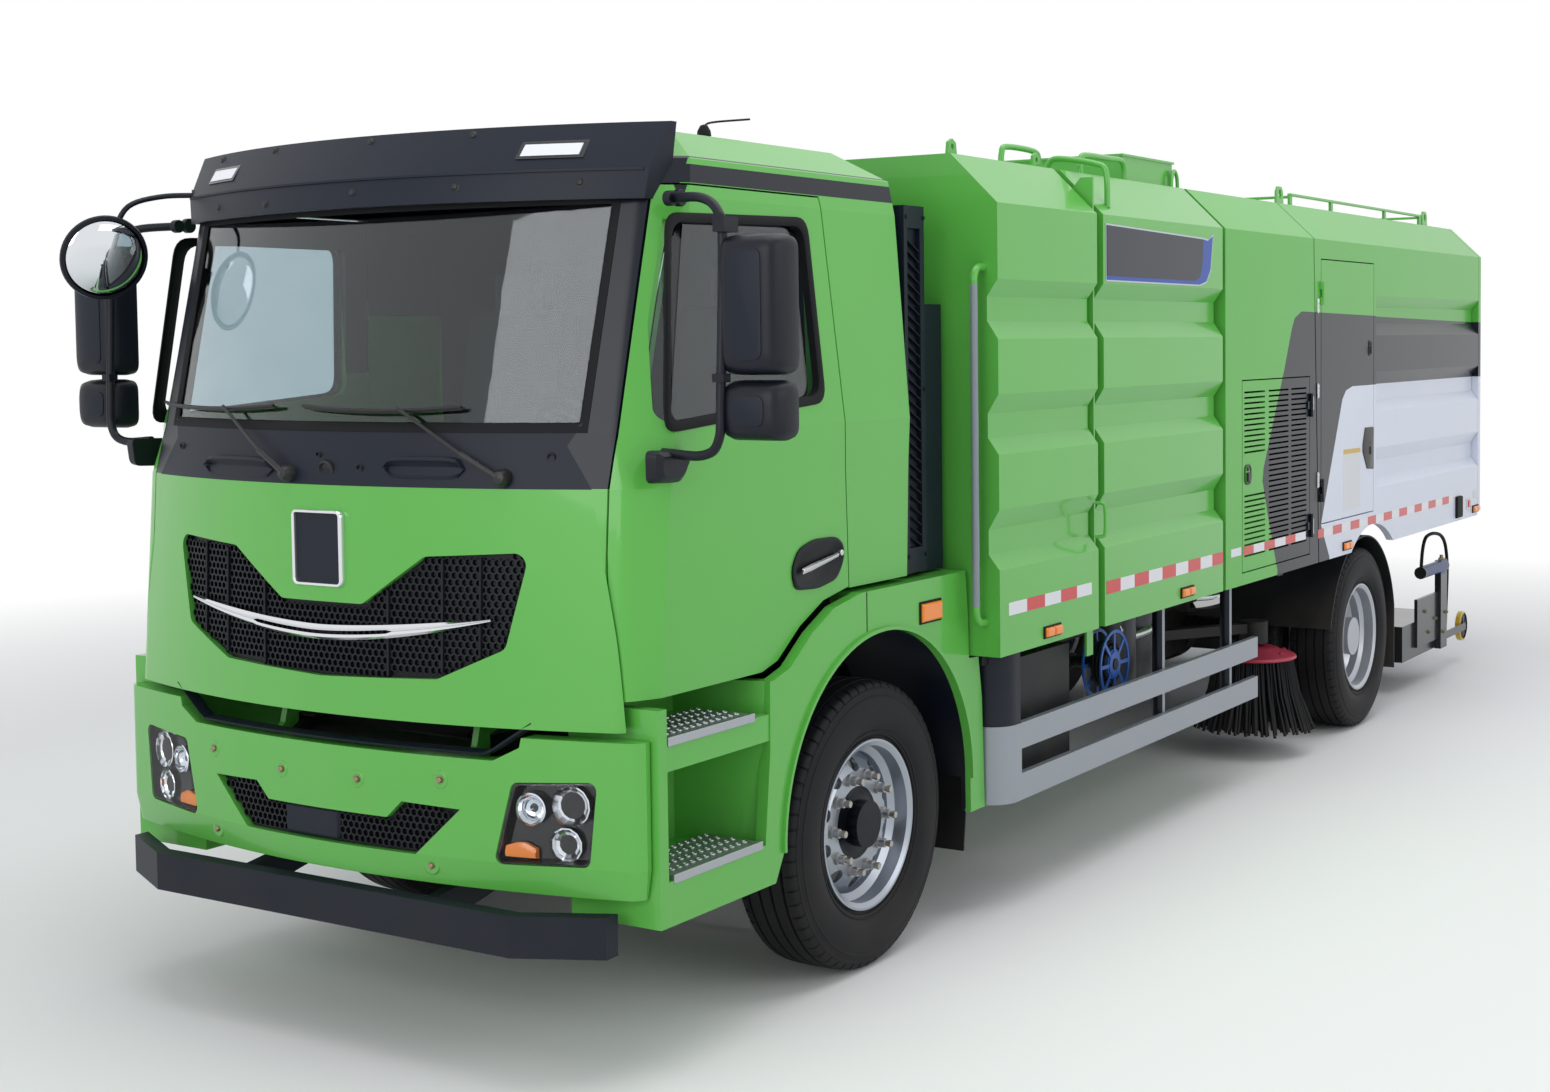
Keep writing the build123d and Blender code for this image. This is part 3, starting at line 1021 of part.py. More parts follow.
for side, name in ((1, "left"), (-1, "right")):
    y = side * 1108
    parts[f"caster_{name}"] = ring([(12 + RUNNING_FIT, -16), (30, -16), (30, -12), (84, -12), (84, -19), (98, -15),
                                    (98, 15), (84, 19), (84, 12), (30, 12), (30, 16), (12 + RUNNING_FIT, 16)],
                                   (-7560, y, 250))

# Everything is moved so that the origin lies under the middle of the truck
box = Compound([s for p in parts.values() for s in p.solids()]).bounding_box()
shift = -(box.min.X + box.max.X) / 2
os.makedirs("parts", exist_ok=True)
for name, shape in parts.items():
    moved = Pos(shift, 0, 0) * shape
    solids = moved.solids()
    export_step(solids[0] if len(solids) == 1 else Compound(children=list(solids)), f"parts/{name}.step")
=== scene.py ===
import math
import random

import bmesh
import bpy
from mathutils import Matrix, Vector


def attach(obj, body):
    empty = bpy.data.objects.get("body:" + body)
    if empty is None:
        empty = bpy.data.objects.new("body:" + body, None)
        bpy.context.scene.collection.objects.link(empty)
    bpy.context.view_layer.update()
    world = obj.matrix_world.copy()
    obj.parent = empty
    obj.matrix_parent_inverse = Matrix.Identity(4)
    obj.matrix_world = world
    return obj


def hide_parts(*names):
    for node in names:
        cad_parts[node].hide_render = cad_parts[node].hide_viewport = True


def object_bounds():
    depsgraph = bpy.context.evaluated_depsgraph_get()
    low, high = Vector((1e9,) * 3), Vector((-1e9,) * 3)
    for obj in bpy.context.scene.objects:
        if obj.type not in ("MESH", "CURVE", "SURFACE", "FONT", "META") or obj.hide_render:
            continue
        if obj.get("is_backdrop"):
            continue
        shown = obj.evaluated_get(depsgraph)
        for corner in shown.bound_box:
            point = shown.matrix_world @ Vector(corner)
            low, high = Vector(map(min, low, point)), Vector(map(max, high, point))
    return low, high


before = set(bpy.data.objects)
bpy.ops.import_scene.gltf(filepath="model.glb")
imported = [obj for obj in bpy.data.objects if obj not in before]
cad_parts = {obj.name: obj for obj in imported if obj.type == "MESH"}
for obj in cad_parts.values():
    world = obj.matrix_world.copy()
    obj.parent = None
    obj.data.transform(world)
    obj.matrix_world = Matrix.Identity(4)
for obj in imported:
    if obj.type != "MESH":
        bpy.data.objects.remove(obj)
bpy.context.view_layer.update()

# Underframe: ladder frame, springs, axle beams and brackets.
# Rolled and forged steel, sprayed black, with road dust near the ground.
# The front axle stands at AXLE_X, and every place along the truck is told from there.
AXLE_X = 3.064


def at(x, y, z):
    """A place told from the front axle's ground point, in metres, in the truck's frame."""
    return Vector((x + AXLE_X, y, z))


def linear(red, green, blue):
    """An sRGB colour of 0 to 255 as the linear colour a shader takes."""
    def one(v):
        v = v / 255
        return v / 12.92 if v <= 0.04045 else ((v + 0.055) / 1.055) ** 2.4
    return (one(red), one(green), one(blue), 1.0)


def new_group(name, inputs, outputs):
    group = bpy.data.node_groups.new(name, "ShaderNodeTree")
    for label, kind, value in inputs:
        socket = group.interface.new_socket(label, in_out="INPUT", socket_type=kind)
        socket.default_value = value
    for label, kind in outputs:
        group.interface.new_socket(label, in_out="OUTPUT", socket_type=kind)
    return group, group.nodes.new("NodeGroupInput"), group.nodes.new("NodeGroupOutput")


def shader_node(tree, kind, given=None, **settings):
    """A shader node with its settings. Each given input is a plain value or the socket that feeds it."""
    node = tree.nodes.new("ShaderNode" + kind)
    for name, value in settings.items():
        setattr(node, name, value)
    for name, value in (given or {}).items():
        if isinstance(value, bpy.types.NodeSocket):
            tree.links.new(value, node.inputs[name])
        else:
            node.inputs[name].default_value = value
    return node


def work(tree, operation, *values, **settings):
    """What a Math node makes of its values."""
    return shader_node(tree, "Math", dict(enumerate(values)), operation=operation, **settings).outputs[0]


def road_dust_group():
    """Dust that is thick near the ground and thins out upwards, broken up by noise."""
    group, given, out = new_group(
        "road dust",
        [("Color", "NodeSocketColor", (0.5, 0.5, 0.5, 1)), ("Roughness", "NodeSocketFloat", 0.4),
         ("Dust Color", "NodeSocketColor", linear(150, 140, 126)), ("Amount", "NodeSocketFloat", 0.3),
         ("Top", "NodeSocketFloat", 1.1), ("Mottle", "NodeSocketFloat", 0.06), ("Scale", "NodeSocketFloat", 3.0)],
        [("Color", "NodeSocketColor"), ("Roughness", "NodeSocketFloat")])
    place = shader_node(group, "TexCoord").outputs["Object"]
    height = shader_node(group, "SeparateXYZ", {0: place}).outputs["Z"]
    fade = shader_node(group, "MapRange", {"Value": height, "From Min": 0.0, "From Max": given.outputs["Top"],
                                           "To Min": given.outputs["Amount"], "To Max": 0.0})
    cloud = shader_node(group, "TexNoise", {"Vector": place, "Scale": given.outputs["Scale"],
                                            "Detail": 6}).outputs["Fac"]
    spread = shader_node(group, "MapRange", {"Value": cloud, "From Min": 0.35, "From Max": 0.65})
    dusty = work(group, "MULTIPLY", fade.outputs["Result"], spread.outputs["Result"])
    swing = work(group, "MULTIPLY_ADD", work(group, "SUBTRACT", cloud, 0.5), given.outputs["Mottle"], 1.0)
    shade = shader_node(group, "HueSaturation", {"Color": given.outputs["Color"], "Value": swing})
    mix = shader_node(group, "Mix", {"Factor": dusty, "A": shade.outputs["Color"], "B": given.outputs["Dust Color"]},
                      data_type="RGBA")
    dull = work(group, "MULTIPLY_ADD", dusty, 0.5, given.outputs["Roughness"], use_clamp=True)
    group.links.new(mix.outputs["Result"], out.inputs["Color"])
    group.links.new(dull, out.inputs["Roughness"])
    return group


def fine_relief_group():
    """Height of a fine surface: orange peel on paint, grain on moulded plastic, scale on castings."""
    group, given, out = new_group(
        "fine relief",
        [("Grain", "NodeSocketFloat", 200.0), ("Waves", "NodeSocketFloat", 6.0),
         ("Wave Share", "NodeSocketFloat", 0.5)],
        [("Height", "NodeSocketFloat")])
    place = shader_node(group, "TexCoord").outputs["Object"]
    small = shader_node(group, "TexNoise", {"Vector": place, "Scale": given.outputs["Grain"], "Detail": 2})
    large = shader_node(group, "TexNoise", {"Vector": place, "Scale": given.outputs["Waves"], "Detail": 1})
    mix = shader_node(group, "Mix", {"Factor": given.outputs["Wave Share"], "A": small.outputs["Fac"],
                                     "B": large.outputs["Fac"]})
    group.links.new(mix.outputs["Result"], out.inputs["Height"])
    return group


ROAD_DUST = road_dust_group()
FINE_RELIEF = fine_relief_group()


def surface(name, color, roughness, metallic=0.0, dust=0.3, dust_top=1.1, mottle=0.06, grain=200.0, waves=6.0,
            wave_share=0.4, relief=0.05, coat=0.0, specular=0.5):
    """A finish from the shared groups: the colour with dust and mottling, and the fine relief as bump."""
    material = bpy.data.materials.new(name)
    material.use_nodes = True
    tree = material.node_tree
    shader = tree.nodes["Principled BSDF"]
    for socket, value in (("Metallic", metallic), ("Coat Weight", coat), ("Coat Roughness", 0.04),
                          ("Specular IOR Level", specular)):
        shader.inputs[socket].default_value = value
    dirt = shader_node(tree, "Group", {"Color": color, "Roughness": roughness, "Amount": dust, "Top": dust_top,
                                       "Mottle": mottle}, node_tree=ROAD_DUST, name="dust")
    skin = shader_node(tree, "Group", {"Grain": grain, "Waves": waves, "Wave Share": wave_share},
                       node_tree=FINE_RELIEF)
    bump = shader_node(tree, "Bump", {"Strength": relief, "Distance": 0.001, "Height": skin.outputs["Height"]})
    tree.links.new(dirt.outputs["Color"], shader.inputs["Base Color"])
    tree.links.new(dirt.outputs["Roughness"], shader.inputs["Roughness"])
    tree.links.new(bump.outputs["Normal"], shader.inputs["Normal"])
    return material


def dress(node, material, soften=0.0, angle=30):
    """A CAD node keeps its solid: it gets its finish, smooth curves and softened edges."""
    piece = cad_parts[node]
    piece.data.materials.clear()
    piece.data.materials.append(material)
    for face in piece.data.polygons:
        face.use_smooth = True
    if soften:
        edge = piece.modifiers.new("softened edges", "BEVEL")
        edge.width = soften
        edge.segments = 2
        edge.limit_method = "ANGLE"
        edge.angle_limit = math.radians(angle)
        edge.harden_normals = True
    piece.data.set_sharp_from_angle(angle=math.radians(angle))
    return piece


frame_black = surface("frame black", linear(20, 22, 25), 0.5, dust=0.18, relief=0.2, specular=0.25)
cast_black = surface("cast black", linear(30, 31, 33), 0.65, dust=0.3, grain=90, relief=0.5, specular=0.25)
for node in ("ladder_frame", "leaf_springs", "pump_boxes", "rear_mudguards", "brush_arm_left", "brush_arm_right"):
    dress(node, frame_black)
for node in ("front_axle", "rear_axle", "knuckle_left", "knuckle_right", "tie_rod"):
    dress(node, cast_black)


# Tyres: radial truck tyres with four tread grooves and notched shoulders.
# Black rubber, moulded, with raised rings on the sidewall.
def new_piece(name, mesh_maker, material, body, angle=35, outward=True):
    """A piece from a bmesh: faces turned outward, smooth with sharp edges kept, finished, riding on a body."""
    if outward:
        bmesh.ops.recalc_face_normals(mesh_maker, faces=mesh_maker.faces)
    mesh_maker.normal_update()
    mesh = bpy.data.meshes.new(name)
    mesh_maker.to_mesh(mesh)
    mesh_maker.free()
    for face in mesh.polygons:
        face.use_smooth = True
    mesh.set_sharp_from_angle(angle=math.radians(angle))
    mesh.materials.append(material)
    piece = bpy.data.objects.new(name, mesh)
    bpy.context.scene.collection.objects.link(piece)
    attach(piece, body)
    return piece


def turn(maker, profile, centre, axis=(0, 1, 0), angles=None, closed=True, notch=None):
    """A profile of (radius, distance along the axis) turned round an axis through a point."""
    axis = Vector(axis).normalized()
    side = axis.orthogonal().normalized()
    other = axis.cross(side)
    if angles is None or isinstance(angles, int):
        count = angles or 64
        angles = [2 * math.pi * n / count for n in range(count)]
    rings = []
    for step, angle in enumerate(angles):
        spoke = math.cos(angle) * side + math.sin(angle) * other
        ring = []
        for radius, along in profile:
            if notch:
                radius = notch(step, radius, along)
            ring.append(maker.verts.new(Vector(centre) + spoke * radius + axis * along))
        rings.append(ring)
    spans = len(profile) if closed else len(profile) - 1
    for a in range(len(rings)):
        b = (a + 1) % len(rings)
        for i in range(spans):
            j = (i + 1) % len(profile)
            maker.faces.new((rings[a][i], rings[a][j], rings[b][j], rings[b][i]))
    return rings


TYRE_R = 0.506
TYRE_HALF = [(0.2864, 0.1035), (0.3035, 0.1042), (0.3105, 0.1075), (0.3135, 0.1150), (0.3215, 0.1185),
             (0.3225, 0.1225), (0.3275, 0.1228), (0.3290, 0.1205), (0.3400, 0.1268), (0.3570, 0.1336),
             (0.3800, 0.1370), (0.4020, 0.1373), (0.4240, 0.1360), (0.4455, 0.1312), (0.4475, 0.1326),
             (0.4515, 0.1318), (0.4535, 0.1288), (0.4700, 0.1234), (0.4735, 0.1243), (0.4765, 0.1232),
             (0.4780, 0.1206), (0.4850, 0.1180), (0.4925, 0.1140), (0.4985, 0.1068), (0.5012, 0.0980),
             (0.5038, 0.0790), (0.4925, 0.0775), (0.4925, 0.0705), (0.5045, 0.0690), (0.5057, 0.0290),
             (0.4935, 0.0275), (0.4935, 0.0205), (0.5060, 0.0190)]
TYRE_PROFILE = [(r, -a) for r, a in TYRE_HALF] + [(r, a) for r, a in reversed(TYRE_HALF)]
LUG_COUNT = 60
LUG_STEPS = (0.0, 0.40, 0.80, 0.84, 0.96)
NOTCH_FROM_R, NOTCH_FROM_Y, NOTCH_DEPTH = 0.484, 0.095, 0.007
lug_angles = [2 * math.pi * (lug + step) / LUG_COUNT for lug in range(LUG_COUNT) for step in LUG_STEPS]


def shoulder_notch(step, radius, along):
    """Short grooves cut across the shoulder between the tread blocks."""
    cut = step % len(LUG_STEPS) in (3, 4)
    if cut and NOTCH_FROM_R < radius and abs(along) > NOTCH_FROM_Y:
        return radius - NOTCH_DEPTH
    return radius


def tyre_piece(name, centres, body, node):
    maker = bmesh.new()
    for centre in centres:
        turn(maker, TYRE_PROFILE, centre, angles=lug_angles, notch=shoulder_notch)
    piece = new_piece(name, maker, tyre_black, body, 28)
    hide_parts(node)
    return piece


tyre_black = surface("tyre rubber", linear(20, 21, 25), 0.6, dust=0.05, dust_top=0.9, mottle=0.12, grain=260,
                     relief=0.25, specular=0.2)
FRONT_Y = 0.965
TWIN_Y = 0.930
TWIN_APART = 0.155
REAR_X = -5.100
SIDES = ((1, "left"), (-1, "right"))
for hand, name in SIDES:
    tyre_piece(f"front_tyre_{name}", [at(0, hand * FRONT_Y, TYRE_R)], f"front_wheel_{name}", f"tyre_front_{name}")
    tyre_piece(f"rear_tyres_{name}", [at(REAR_X, hand * (TWIN_Y + s * TWIN_APART), TYRE_R) for s in (1, -1)],
               f"rear_wheels_{name}", f"tyres_rear_{name}")

# Wheels: pressed steel discs with ten hand holes, painted silver, on dark cast hubs.
# Long wheel nuts with their stud ends stand out round the hub.
wheel_silver = surface("wheel silver paint", linear(184, 188, 194), 0.30, metallic=0.75, dust=0.10, mottle=0.10,
                       relief=0.10, grain=120)
nut_steel = surface("wheel nut steel", linear(176, 172, 166), 0.35, metallic=0.9, dust=0.1, relief=0.1)
STUD_R = 0.1675
HUB_FACE_OUT = 0.062
NUT_REACH = 0.060
STUD_COUNT = 10
for name in ("left", "right"):
    dress(f"rims_rear_{name}", wheel_silver, 0.0015)


def bridge(maker, loops):
    """Faces between successive closed loops with the same count of points."""
    for a, b in zip(loops, loops[1:]):
        for i in range(len(a)):
            j = (i + 1) % len(a)
            maker.faces.new((a[i], a[j], b[j], b[i]))


def bar(maker, a, b, radius, sides=12, end_radius=None):
    """A round bar between two points, with flat ends."""
    a, b = Vector(a), Vector(b)
    axis = (b - a).normalized()
    side = axis.orthogonal().normalized()
    other = axis.cross(side)
    end_radius = radius if end_radius is None else end_radius
    rings = []
    for centre, r in ((a, radius), (b, end_radius)):
        rings.append([maker.verts.new(centre + r * (math.cos(2 * math.pi * n / sides) * side +
                                                    math.sin(2 * math.pi * n / sides) * other))
                      for n in range(sides)])
    bridge(maker, rings)
    maker.faces.new(list(reversed(rings[0])))
    maker.faces.new(rings[1])


def wheel_nuts(name, centre, hand, body, reach):
    maker = bmesh.new()
    out = Vector((0, hand, 0))
    for n in range(STUD_COUNT):
        angle = 2 * math.pi * n / STUD_COUNT
        foot = Vector(centre) + Vector((math.cos(angle), 0, math.sin(angle))) * STUD_R
        bar(maker, foot, foot + out * 0.012, 0.0215, 20)
        bar(maker, foot + out * 0.012, foot + out * 0.036, 0.0165, 6)
        bar(maker, foot + out * 0.036, foot + out * (reach - 0.014), 0.0105, 16)
        bar(maker, foot + out * (reach - 0.014), foot + out * reach, 0.0125, 6)
    return new_piece(name, maker, nut_steel, body, 30)


for hand, name in SIDES:
    face = hand * (FRONT_Y + HUB_FACE_OUT)
    wheel_nuts(f"front_wheel_nuts_{name}", at(0, face, TYRE_R), hand, f"front_wheel_{name}", NUT_REACH)
    mid = hand * TWIN_Y
    wheel_nuts(f"rear_wheel_nuts_{name}", at(REAR_X, mid, TYRE_R), hand, f"rear_wheels_{name}", NUT_REACH)


# Cab panels: pressed sheet steel in a bright leaf green, clear coated, and a moulded dark blue-black cowl.
# The nose panel hangs over the bumper, and the doors are hinged behind the front corners.
GREEN = linear(88, 174, 70)
body_green = surface("leaf green paint", GREEN, 0.28, dust=0.07, dust_top=1.5, mottle=0.05, coat=0.4,
                     relief=0.02, waves=2.5, wave_share=0.8, specular=0.35)
dark_plastic = surface("dark blue-black plastic", linear(13, 22, 36), 0.45, dust=0.03, dust_top=2.8, grain=420,
                       relief=0.25, specular=0.25)
grille_plastic = surface("grille plastic", linear(8, 12, 19), 0.45, dust=0.04, grain=420, relief=0.2, specular=0.25)
rubber_black = surface("black rubber", linear(12, 14, 17), 0.65, dust=0.04, grain=500, relief=0.3, specular=0.2)
bright_chrome = surface("bright chrome", linear(222, 224, 228), 0.08, metallic=1.0, dust=0.03, relief=0.0)
for node in ("front_bumper", "nose_panel"):
    dress(node, body_green, 0.006, 25)
for node in ("cowl_panel", "sun_visor"):
    dress(node, dark_plastic, 0.004, 25)
for node in ("bumper_grille", "grille"):
    dress(node, grille_plastic, 0.002)

# Levels of the nose: height, corner place, corner half width and the middle's place
NOSE_LEVELS = ((1.055, 1.335, 1.062, 1.514), (1.768, 1.285, 1.045, 1.498), (1.925, 1.268, 0.985, 1.462),
               (2.640, 1.105, 0.975, 1.290), (2.760, 1.065, 0.950, 1.245))


def front_x(y, z, levels=NOSE_LEVELS):
    """How far forward the cab's front face stands at a place (y, z)."""
    for low, high in zip(levels, levels[1:]):
        if z <= high[0] or high is levels[-1]:
            break
    t = (z - low[0]) / (high[0] - low[0])
    corner, half, middle = (low[i] + t * (high[i] - low[i]) for i in (1, 2, 3))
    rise = middle - corner
    radius = (half * half + rise * rise) / (2 * rise)
    return middle - radius + math.sqrt(max(radius * radius - y * y, 0))


# Upper grille: a moulded honeycomb of dark plastic behind the nose panel's opening.
# Upright ribs split it, and a chromed blade with a slot crosses it in one sweep.
GRILLE_HALF = [(0.000, 1.405), (0.175, 1.405), (0.412, 1.560), (0.764, 1.580), (0.690, 1.290), (0.458, 1.190),
               (0.000, 1.172)]


def inside(y, z, outline, margin=0.0):
    """Whether a place lies inside a half outline mirrored about the middle, by a margin."""
    y = abs(y)
    ring = outline + [(-a, b) for a, b in reversed(outline)]
    hit = False
    near = 1e9
    for (y0, z0), (y1, z1) in zip(ring, ring[1:] + ring[:1]):
        if (z0 > z) != (z1 > z) and y < (y1 - y0) * (z - z0) / (z1 - z0 + 1e-12) + y0:
            hit = not hit
        length = (y1 - y0) ** 2 + (z1 - z0) ** 2
        if length > 1e-9 and not (abs(y0) < 1e-6 and abs(y1) < 1e-6):
            t = max(0, min(1, ((y - y0) * (y1 - y0) + (z - z0) * (z1 - z0)) / length))
            near = min(near, math.hypot(y - y0 - t * (y1 - y0), z - z0 - t * (z1 - z0)))
    return hit and near >= margin


HEX_REACH, HEX_ROW = 1.1547, 0.866


def honeycomb(maker, outline, surface_x, pitch, wall, depth, margin):
    """Hexagonal cells standing on a curved face, each a ring with its inner walls."""
    row = 0
    low_z = min(z for _, z in outline)
    high_z = max(z for _, z in outline)
    wide = max(y for y, _ in outline)
    z = low_z
    while z <= high_z:
        y = -wide + (pitch / 2 if row % 2 else 0)
        while y <= wide:
            if inside(y, z, outline, margin):
                rings = []
                reach = pitch / 2 * HEX_REACH
                for radius, lift in ((reach, 0.0), (reach - wall, 0.0), (reach - wall * 1.4, -depth)):
                    ring = []
                    for n in range(6):
                        a = math.pi / 6 + n * math.pi / 3
                        yy, zz = y + radius * math.cos(a), z + radius * math.sin(a)
                        ring.append(maker.verts.new(at(surface_x(yy, zz) + lift, yy, zz)))
                    rings.append(ring)
                bridge(maker, rings)
            y += pitch
        z += pitch * HEX_ROW
        row += 1


comb = bmesh.new()
honeycomb(comb, GRILLE_HALF, lambda y, z: front_x(y, z) - 0.012, 0.024, 0.0035, 0.010, 0.010)
upper_comb = new_piece("grille_honeycomb", comb, grille_plastic, "cab", 20, outward=False)


def block(maker, low, high, turned=None):
    """A block between two corners, as eight corners and six faces."""
    corners = [Vector((x, y, z)) for x in (low[0], high[0]) for y in (low[1], high[1]) for z in (low[2], high[2])]
    if turned is not None:
        corners = [turned @ c for c in corners]
    v = [maker.verts.new(c) for c in corners]
    for f in ((0, 1, 3, 2), (4, 6, 7, 5), (0, 4, 5, 1), (2, 3, 7, 6), (0, 2, 6, 4), (1, 5, 7, 3)):
        maker.faces.new([v[i] for i in f])


def soften(piece, width, segments=3, angle=30):
    edge = piece.modifiers.new("rounded edges", "BEVEL")
    edge.width = width
    edge.segments = segments
    edge.limit_method = "ANGLE"
    edge.angle_limit = math.radians(angle)
    edge.harden_normals = True
    return piece


def grid_strip(maker, rows, close_ends=True):
    """Faces between successive rows of points with the same count, each row closed into a loop."""
    loops = [[maker.verts.new(p) for p in row] for row in rows]
    bridge(maker, loops)
    if close_ends:
        maker.faces.new(list(reversed(loops[0])))
        maker.faces.new(loops[-1])


ribs = bmesh.new()
for y in (-0.60, -0.47, -0.27, 0.27, 0.47, 0.60):
    zs = [z / 1000 for z in range(1180, 1580, 10) if inside(y, z / 1000, GRILLE_HALF, 0.006)]
    rows = []
    for z in (zs[0], *zs[1:-1:4], zs[-1]):
        x = front_x(y, z) - 0.024
        rows.append([at(x, y - 0.007, z), at(x + 0.018, y - 0.004, z), at(x + 0.018, y + 0.004, z),
                     at(x, y + 0.007, z)])
    grid_strip(ribs, rows)
new_piece("grille_ribs", ribs, grille_plastic, "cab", 20, outward=False)

# The blade's middle line, its half height and its slot, along the width
BLADE_HALF_WIDTH = 0.651
blade = bmesh.new()
SLOT_HALF_WIDTH = 0.30
blade_rows = {1: [], -1: []}
for n in range(61):
    y = -BLADE_HALF_WIDTH + n * BLADE_HALF_WIDTH / 30
    share = abs(y) / BLADE_HALF_WIDTH
    middle = 1.311 + 0.066 * share ** 1.7
    half = 0.005 + 0.019 * (1 - share ** 2.2)
    slot = 0.0055 * max(0.0, min(1.0, (SLOT_HALF_WIDTH - abs(y)) / 0.02))
    face = front_x(y, middle) + 0.010
    for hand in (1, -1):
        inner, outer = middle + hand * slot, middle + hand * half
        blade_rows[hand].append([at(face - 0.016, y, inner), at(face + 0.004, y, inner),
                                 at(face + 0.006, y, (inner + outer) / 2), at(face - 0.002, y, outer),
                                 at(face - 0.016, y, outer)])
for hand in (1, -1):
    grid_strip(blade, blade_rows[hand])
soften(new_piece("grille_blade", blade, bright_chrome, "cab", 40), 0.0012, 2)

# Plate above the grille: a bare dark panel in a chromed frame.
# The frame stands 16 mm off the nose and the panel lies 11 mm behind its edge.
PLATE_HALF = 0.108
PLATE_LOW = 1.452
PLATE_TOP = 1.692


def rounded_frame(half, low, high, radius, steps=6):
    points = []
    for cy, cz, start in ((half - radius, high - radius, 0), (radius - half, high - radius, 90),
                          (radius - half, low + radius, 180), (half - radius, low + radius, 270)):
        for n in range(steps + 1):
            a = math.radians(start + 90 * n / steps)
            points.append((cy + radius * math.cos(a), cz + radius * math.sin(a)))
    return points


plate_x = front_x(0, 1.57)
rim = bmesh.new()
loops = []
for inset, out in ((0.0, -0.010), (0.0, 0.010), (0.003, 0.014), (0.010, 0.014), (0.013, 0.008), (0.013, 0.000)):
    points = rounded_frame(PLATE_HALF - inset, PLATE_LOW + inset, PLATE_TOP - inset, 0.022 - inset)
    loops.append([rim.verts.new(at(plate_x + out + 0.002, y, z)) for y, z in points])
bridge(rim, loops)
new_piece("nose_plate_frame", rim, bright_chrome, "cab", 40)
panel = bmesh.new()
points = rounded_frame(PLATE_HALF - 0.012, PLATE_LOW + 0.012, PLATE_TOP - 0.012, 0.010)
front_loop = [panel.verts.new(at(plate_x + 0.005, y, z)) for y, z in points]
back_loop = [panel.verts.new(at(plate_x - 0.010, y, z)) for y, z in points]
panel.faces.new(front_loop)
for i in range(len(points)):
    j = (i + 1) % len(points)
    panel.faces.new((front_loop[i], back_loop[i], back_loop[j], front_loop[j]))
new_piece("nose_plate_panel", panel, dark_plastic, "cab", 40)


# Bumper details: a honeycomb air intake with a bare sensor cover, six sunk bolts and a dark lip under the nose.
# The intake and lip are moulded dark plastic, and the bolts are zinc plated.
# The lip is partly painted shade: its dark band also stands for the shaded gap between nose and bumper.
BUMPER_LEVELS = ((0.560, 1.335, 1.085, 1.490), (0.650, 1.345, 1.100, 1.512), (1.030, 1.345, 1.100, 1.506))
BUMPER_BOW_R = 4.2
INTAKE_HALF = [(0.000, 0.648), (0.369, 0.648), (0.535, 0.800), (0.318, 0.806), (0.259, 0.752), (0.000, 0.752)]


def bumper_x(y, z):
    return front_x(y, z, BUMPER_LEVELS)


comb = bmesh.new()
honeycomb(comb, INTAKE_HALF, lambda y, z: bumper_x(y, z) - 0.014, 0.024, 0.0032, 0.010, 0.009)
new_piece("intake_honeycomb", comb, grille_plastic, "chassis", 20, outward=False)
cover = bmesh.new()
rows = []
for y in (-0.190, -0.180, -0.120, -0.060, 0.000, 0.045, 0.055):
    x = bumper_x(y, 0.68)
    deep = 0.022 if y in (-0.190, 0.055) else 0.008
    rows.append([at(x - 0.04, y, 0.655), at(x - deep - 0.006, y, 0.655), at(x - deep, y, 0.664),
                 at(x - deep, y, 0.740), at(x - deep - 0.006, y, 0.748), at(x - 0.04, y, 0.748)])
grid_strip(cover, rows)
soften(new_piece("sensor_cover", cover, dark_plastic, "chassis"), 0.003)

bolt_zinc = surface("zinc plated bolts", linear(150, 138, 112), 0.35, metallic=0.9, dust=0.1, relief=0.1)
bolts = bmesh.new()
cups = bmesh.new()
for y, z in ((-0.545, 0.881), (-0.193, 0.855), (0.142, 0.858), (0.464, 0.884), (-0.544, 0.614), (0.423, 0.617)):
    x = bumper_x(y, z)
    lean = math.asin(max(-1, min(1, y / BUMPER_BOW_R)))
    turn(bolts, [(0.0005, 0.006), (0.0075, 0.006), (0.0095, 0.003), (0.0095, -0.004), (0.0145, -0.004),
                 (0.0145, -0.007), (0.0005, -0.007)], at(x + 0.004, y, z), (1, lean, 0), 20)
    turn(cups, [(0.0145, 0.0015), (0.024, 0.0040), (0.029, 0.0005), (0.029, -0.006), (0.0145, -0.006)],
         at(x - 0.001, y, z), (1, lean, 0), 28)
new_piece("bumper_bolts", bolts, bolt_zinc, "chassis")
new_piece("bumper_bolt_seats", cups, body_green, "chassis", 60)

# A dark plastic lip under the nose, partly painted shade: its dark band stands for the shaded gap above the bumper.
SHADE_LIP_HALF_WIDTH, SHADE_LIP_FLAT_TO, SHADE_LIP_LOW = 0.775, 0.62, 0.966
lip_and_gap_shade = bmesh.new()
rows = []
for n in range(49):
    y = -SHADE_LIP_HALF_WIDTH + n * SHADE_LIP_HALF_WIDTH / 24
    a = abs(y)
    low = SHADE_LIP_LOW if a < SHADE_LIP_FLAT_TO else SHADE_LIP_LOW + (a - SHADE_LIP_FLAT_TO) / 0.155 * 0.10
    x = bumper_x(y, 0.99)
    rows.append([at(x - 0.052, y, low + 0.002), at(x - 0.010, y, low + 0.002), at(x - 0.006, y, low + 0.010),
                 at(x - 0.030, y, low + 0.014), at(x - 0.050, y, low + 0.014)])
grid_strip(lip_and_gap_shade, rows)
new_piece("bumper_lip_and_gap_shade", lip_and_gap_shade, dark_plastic, "chassis")

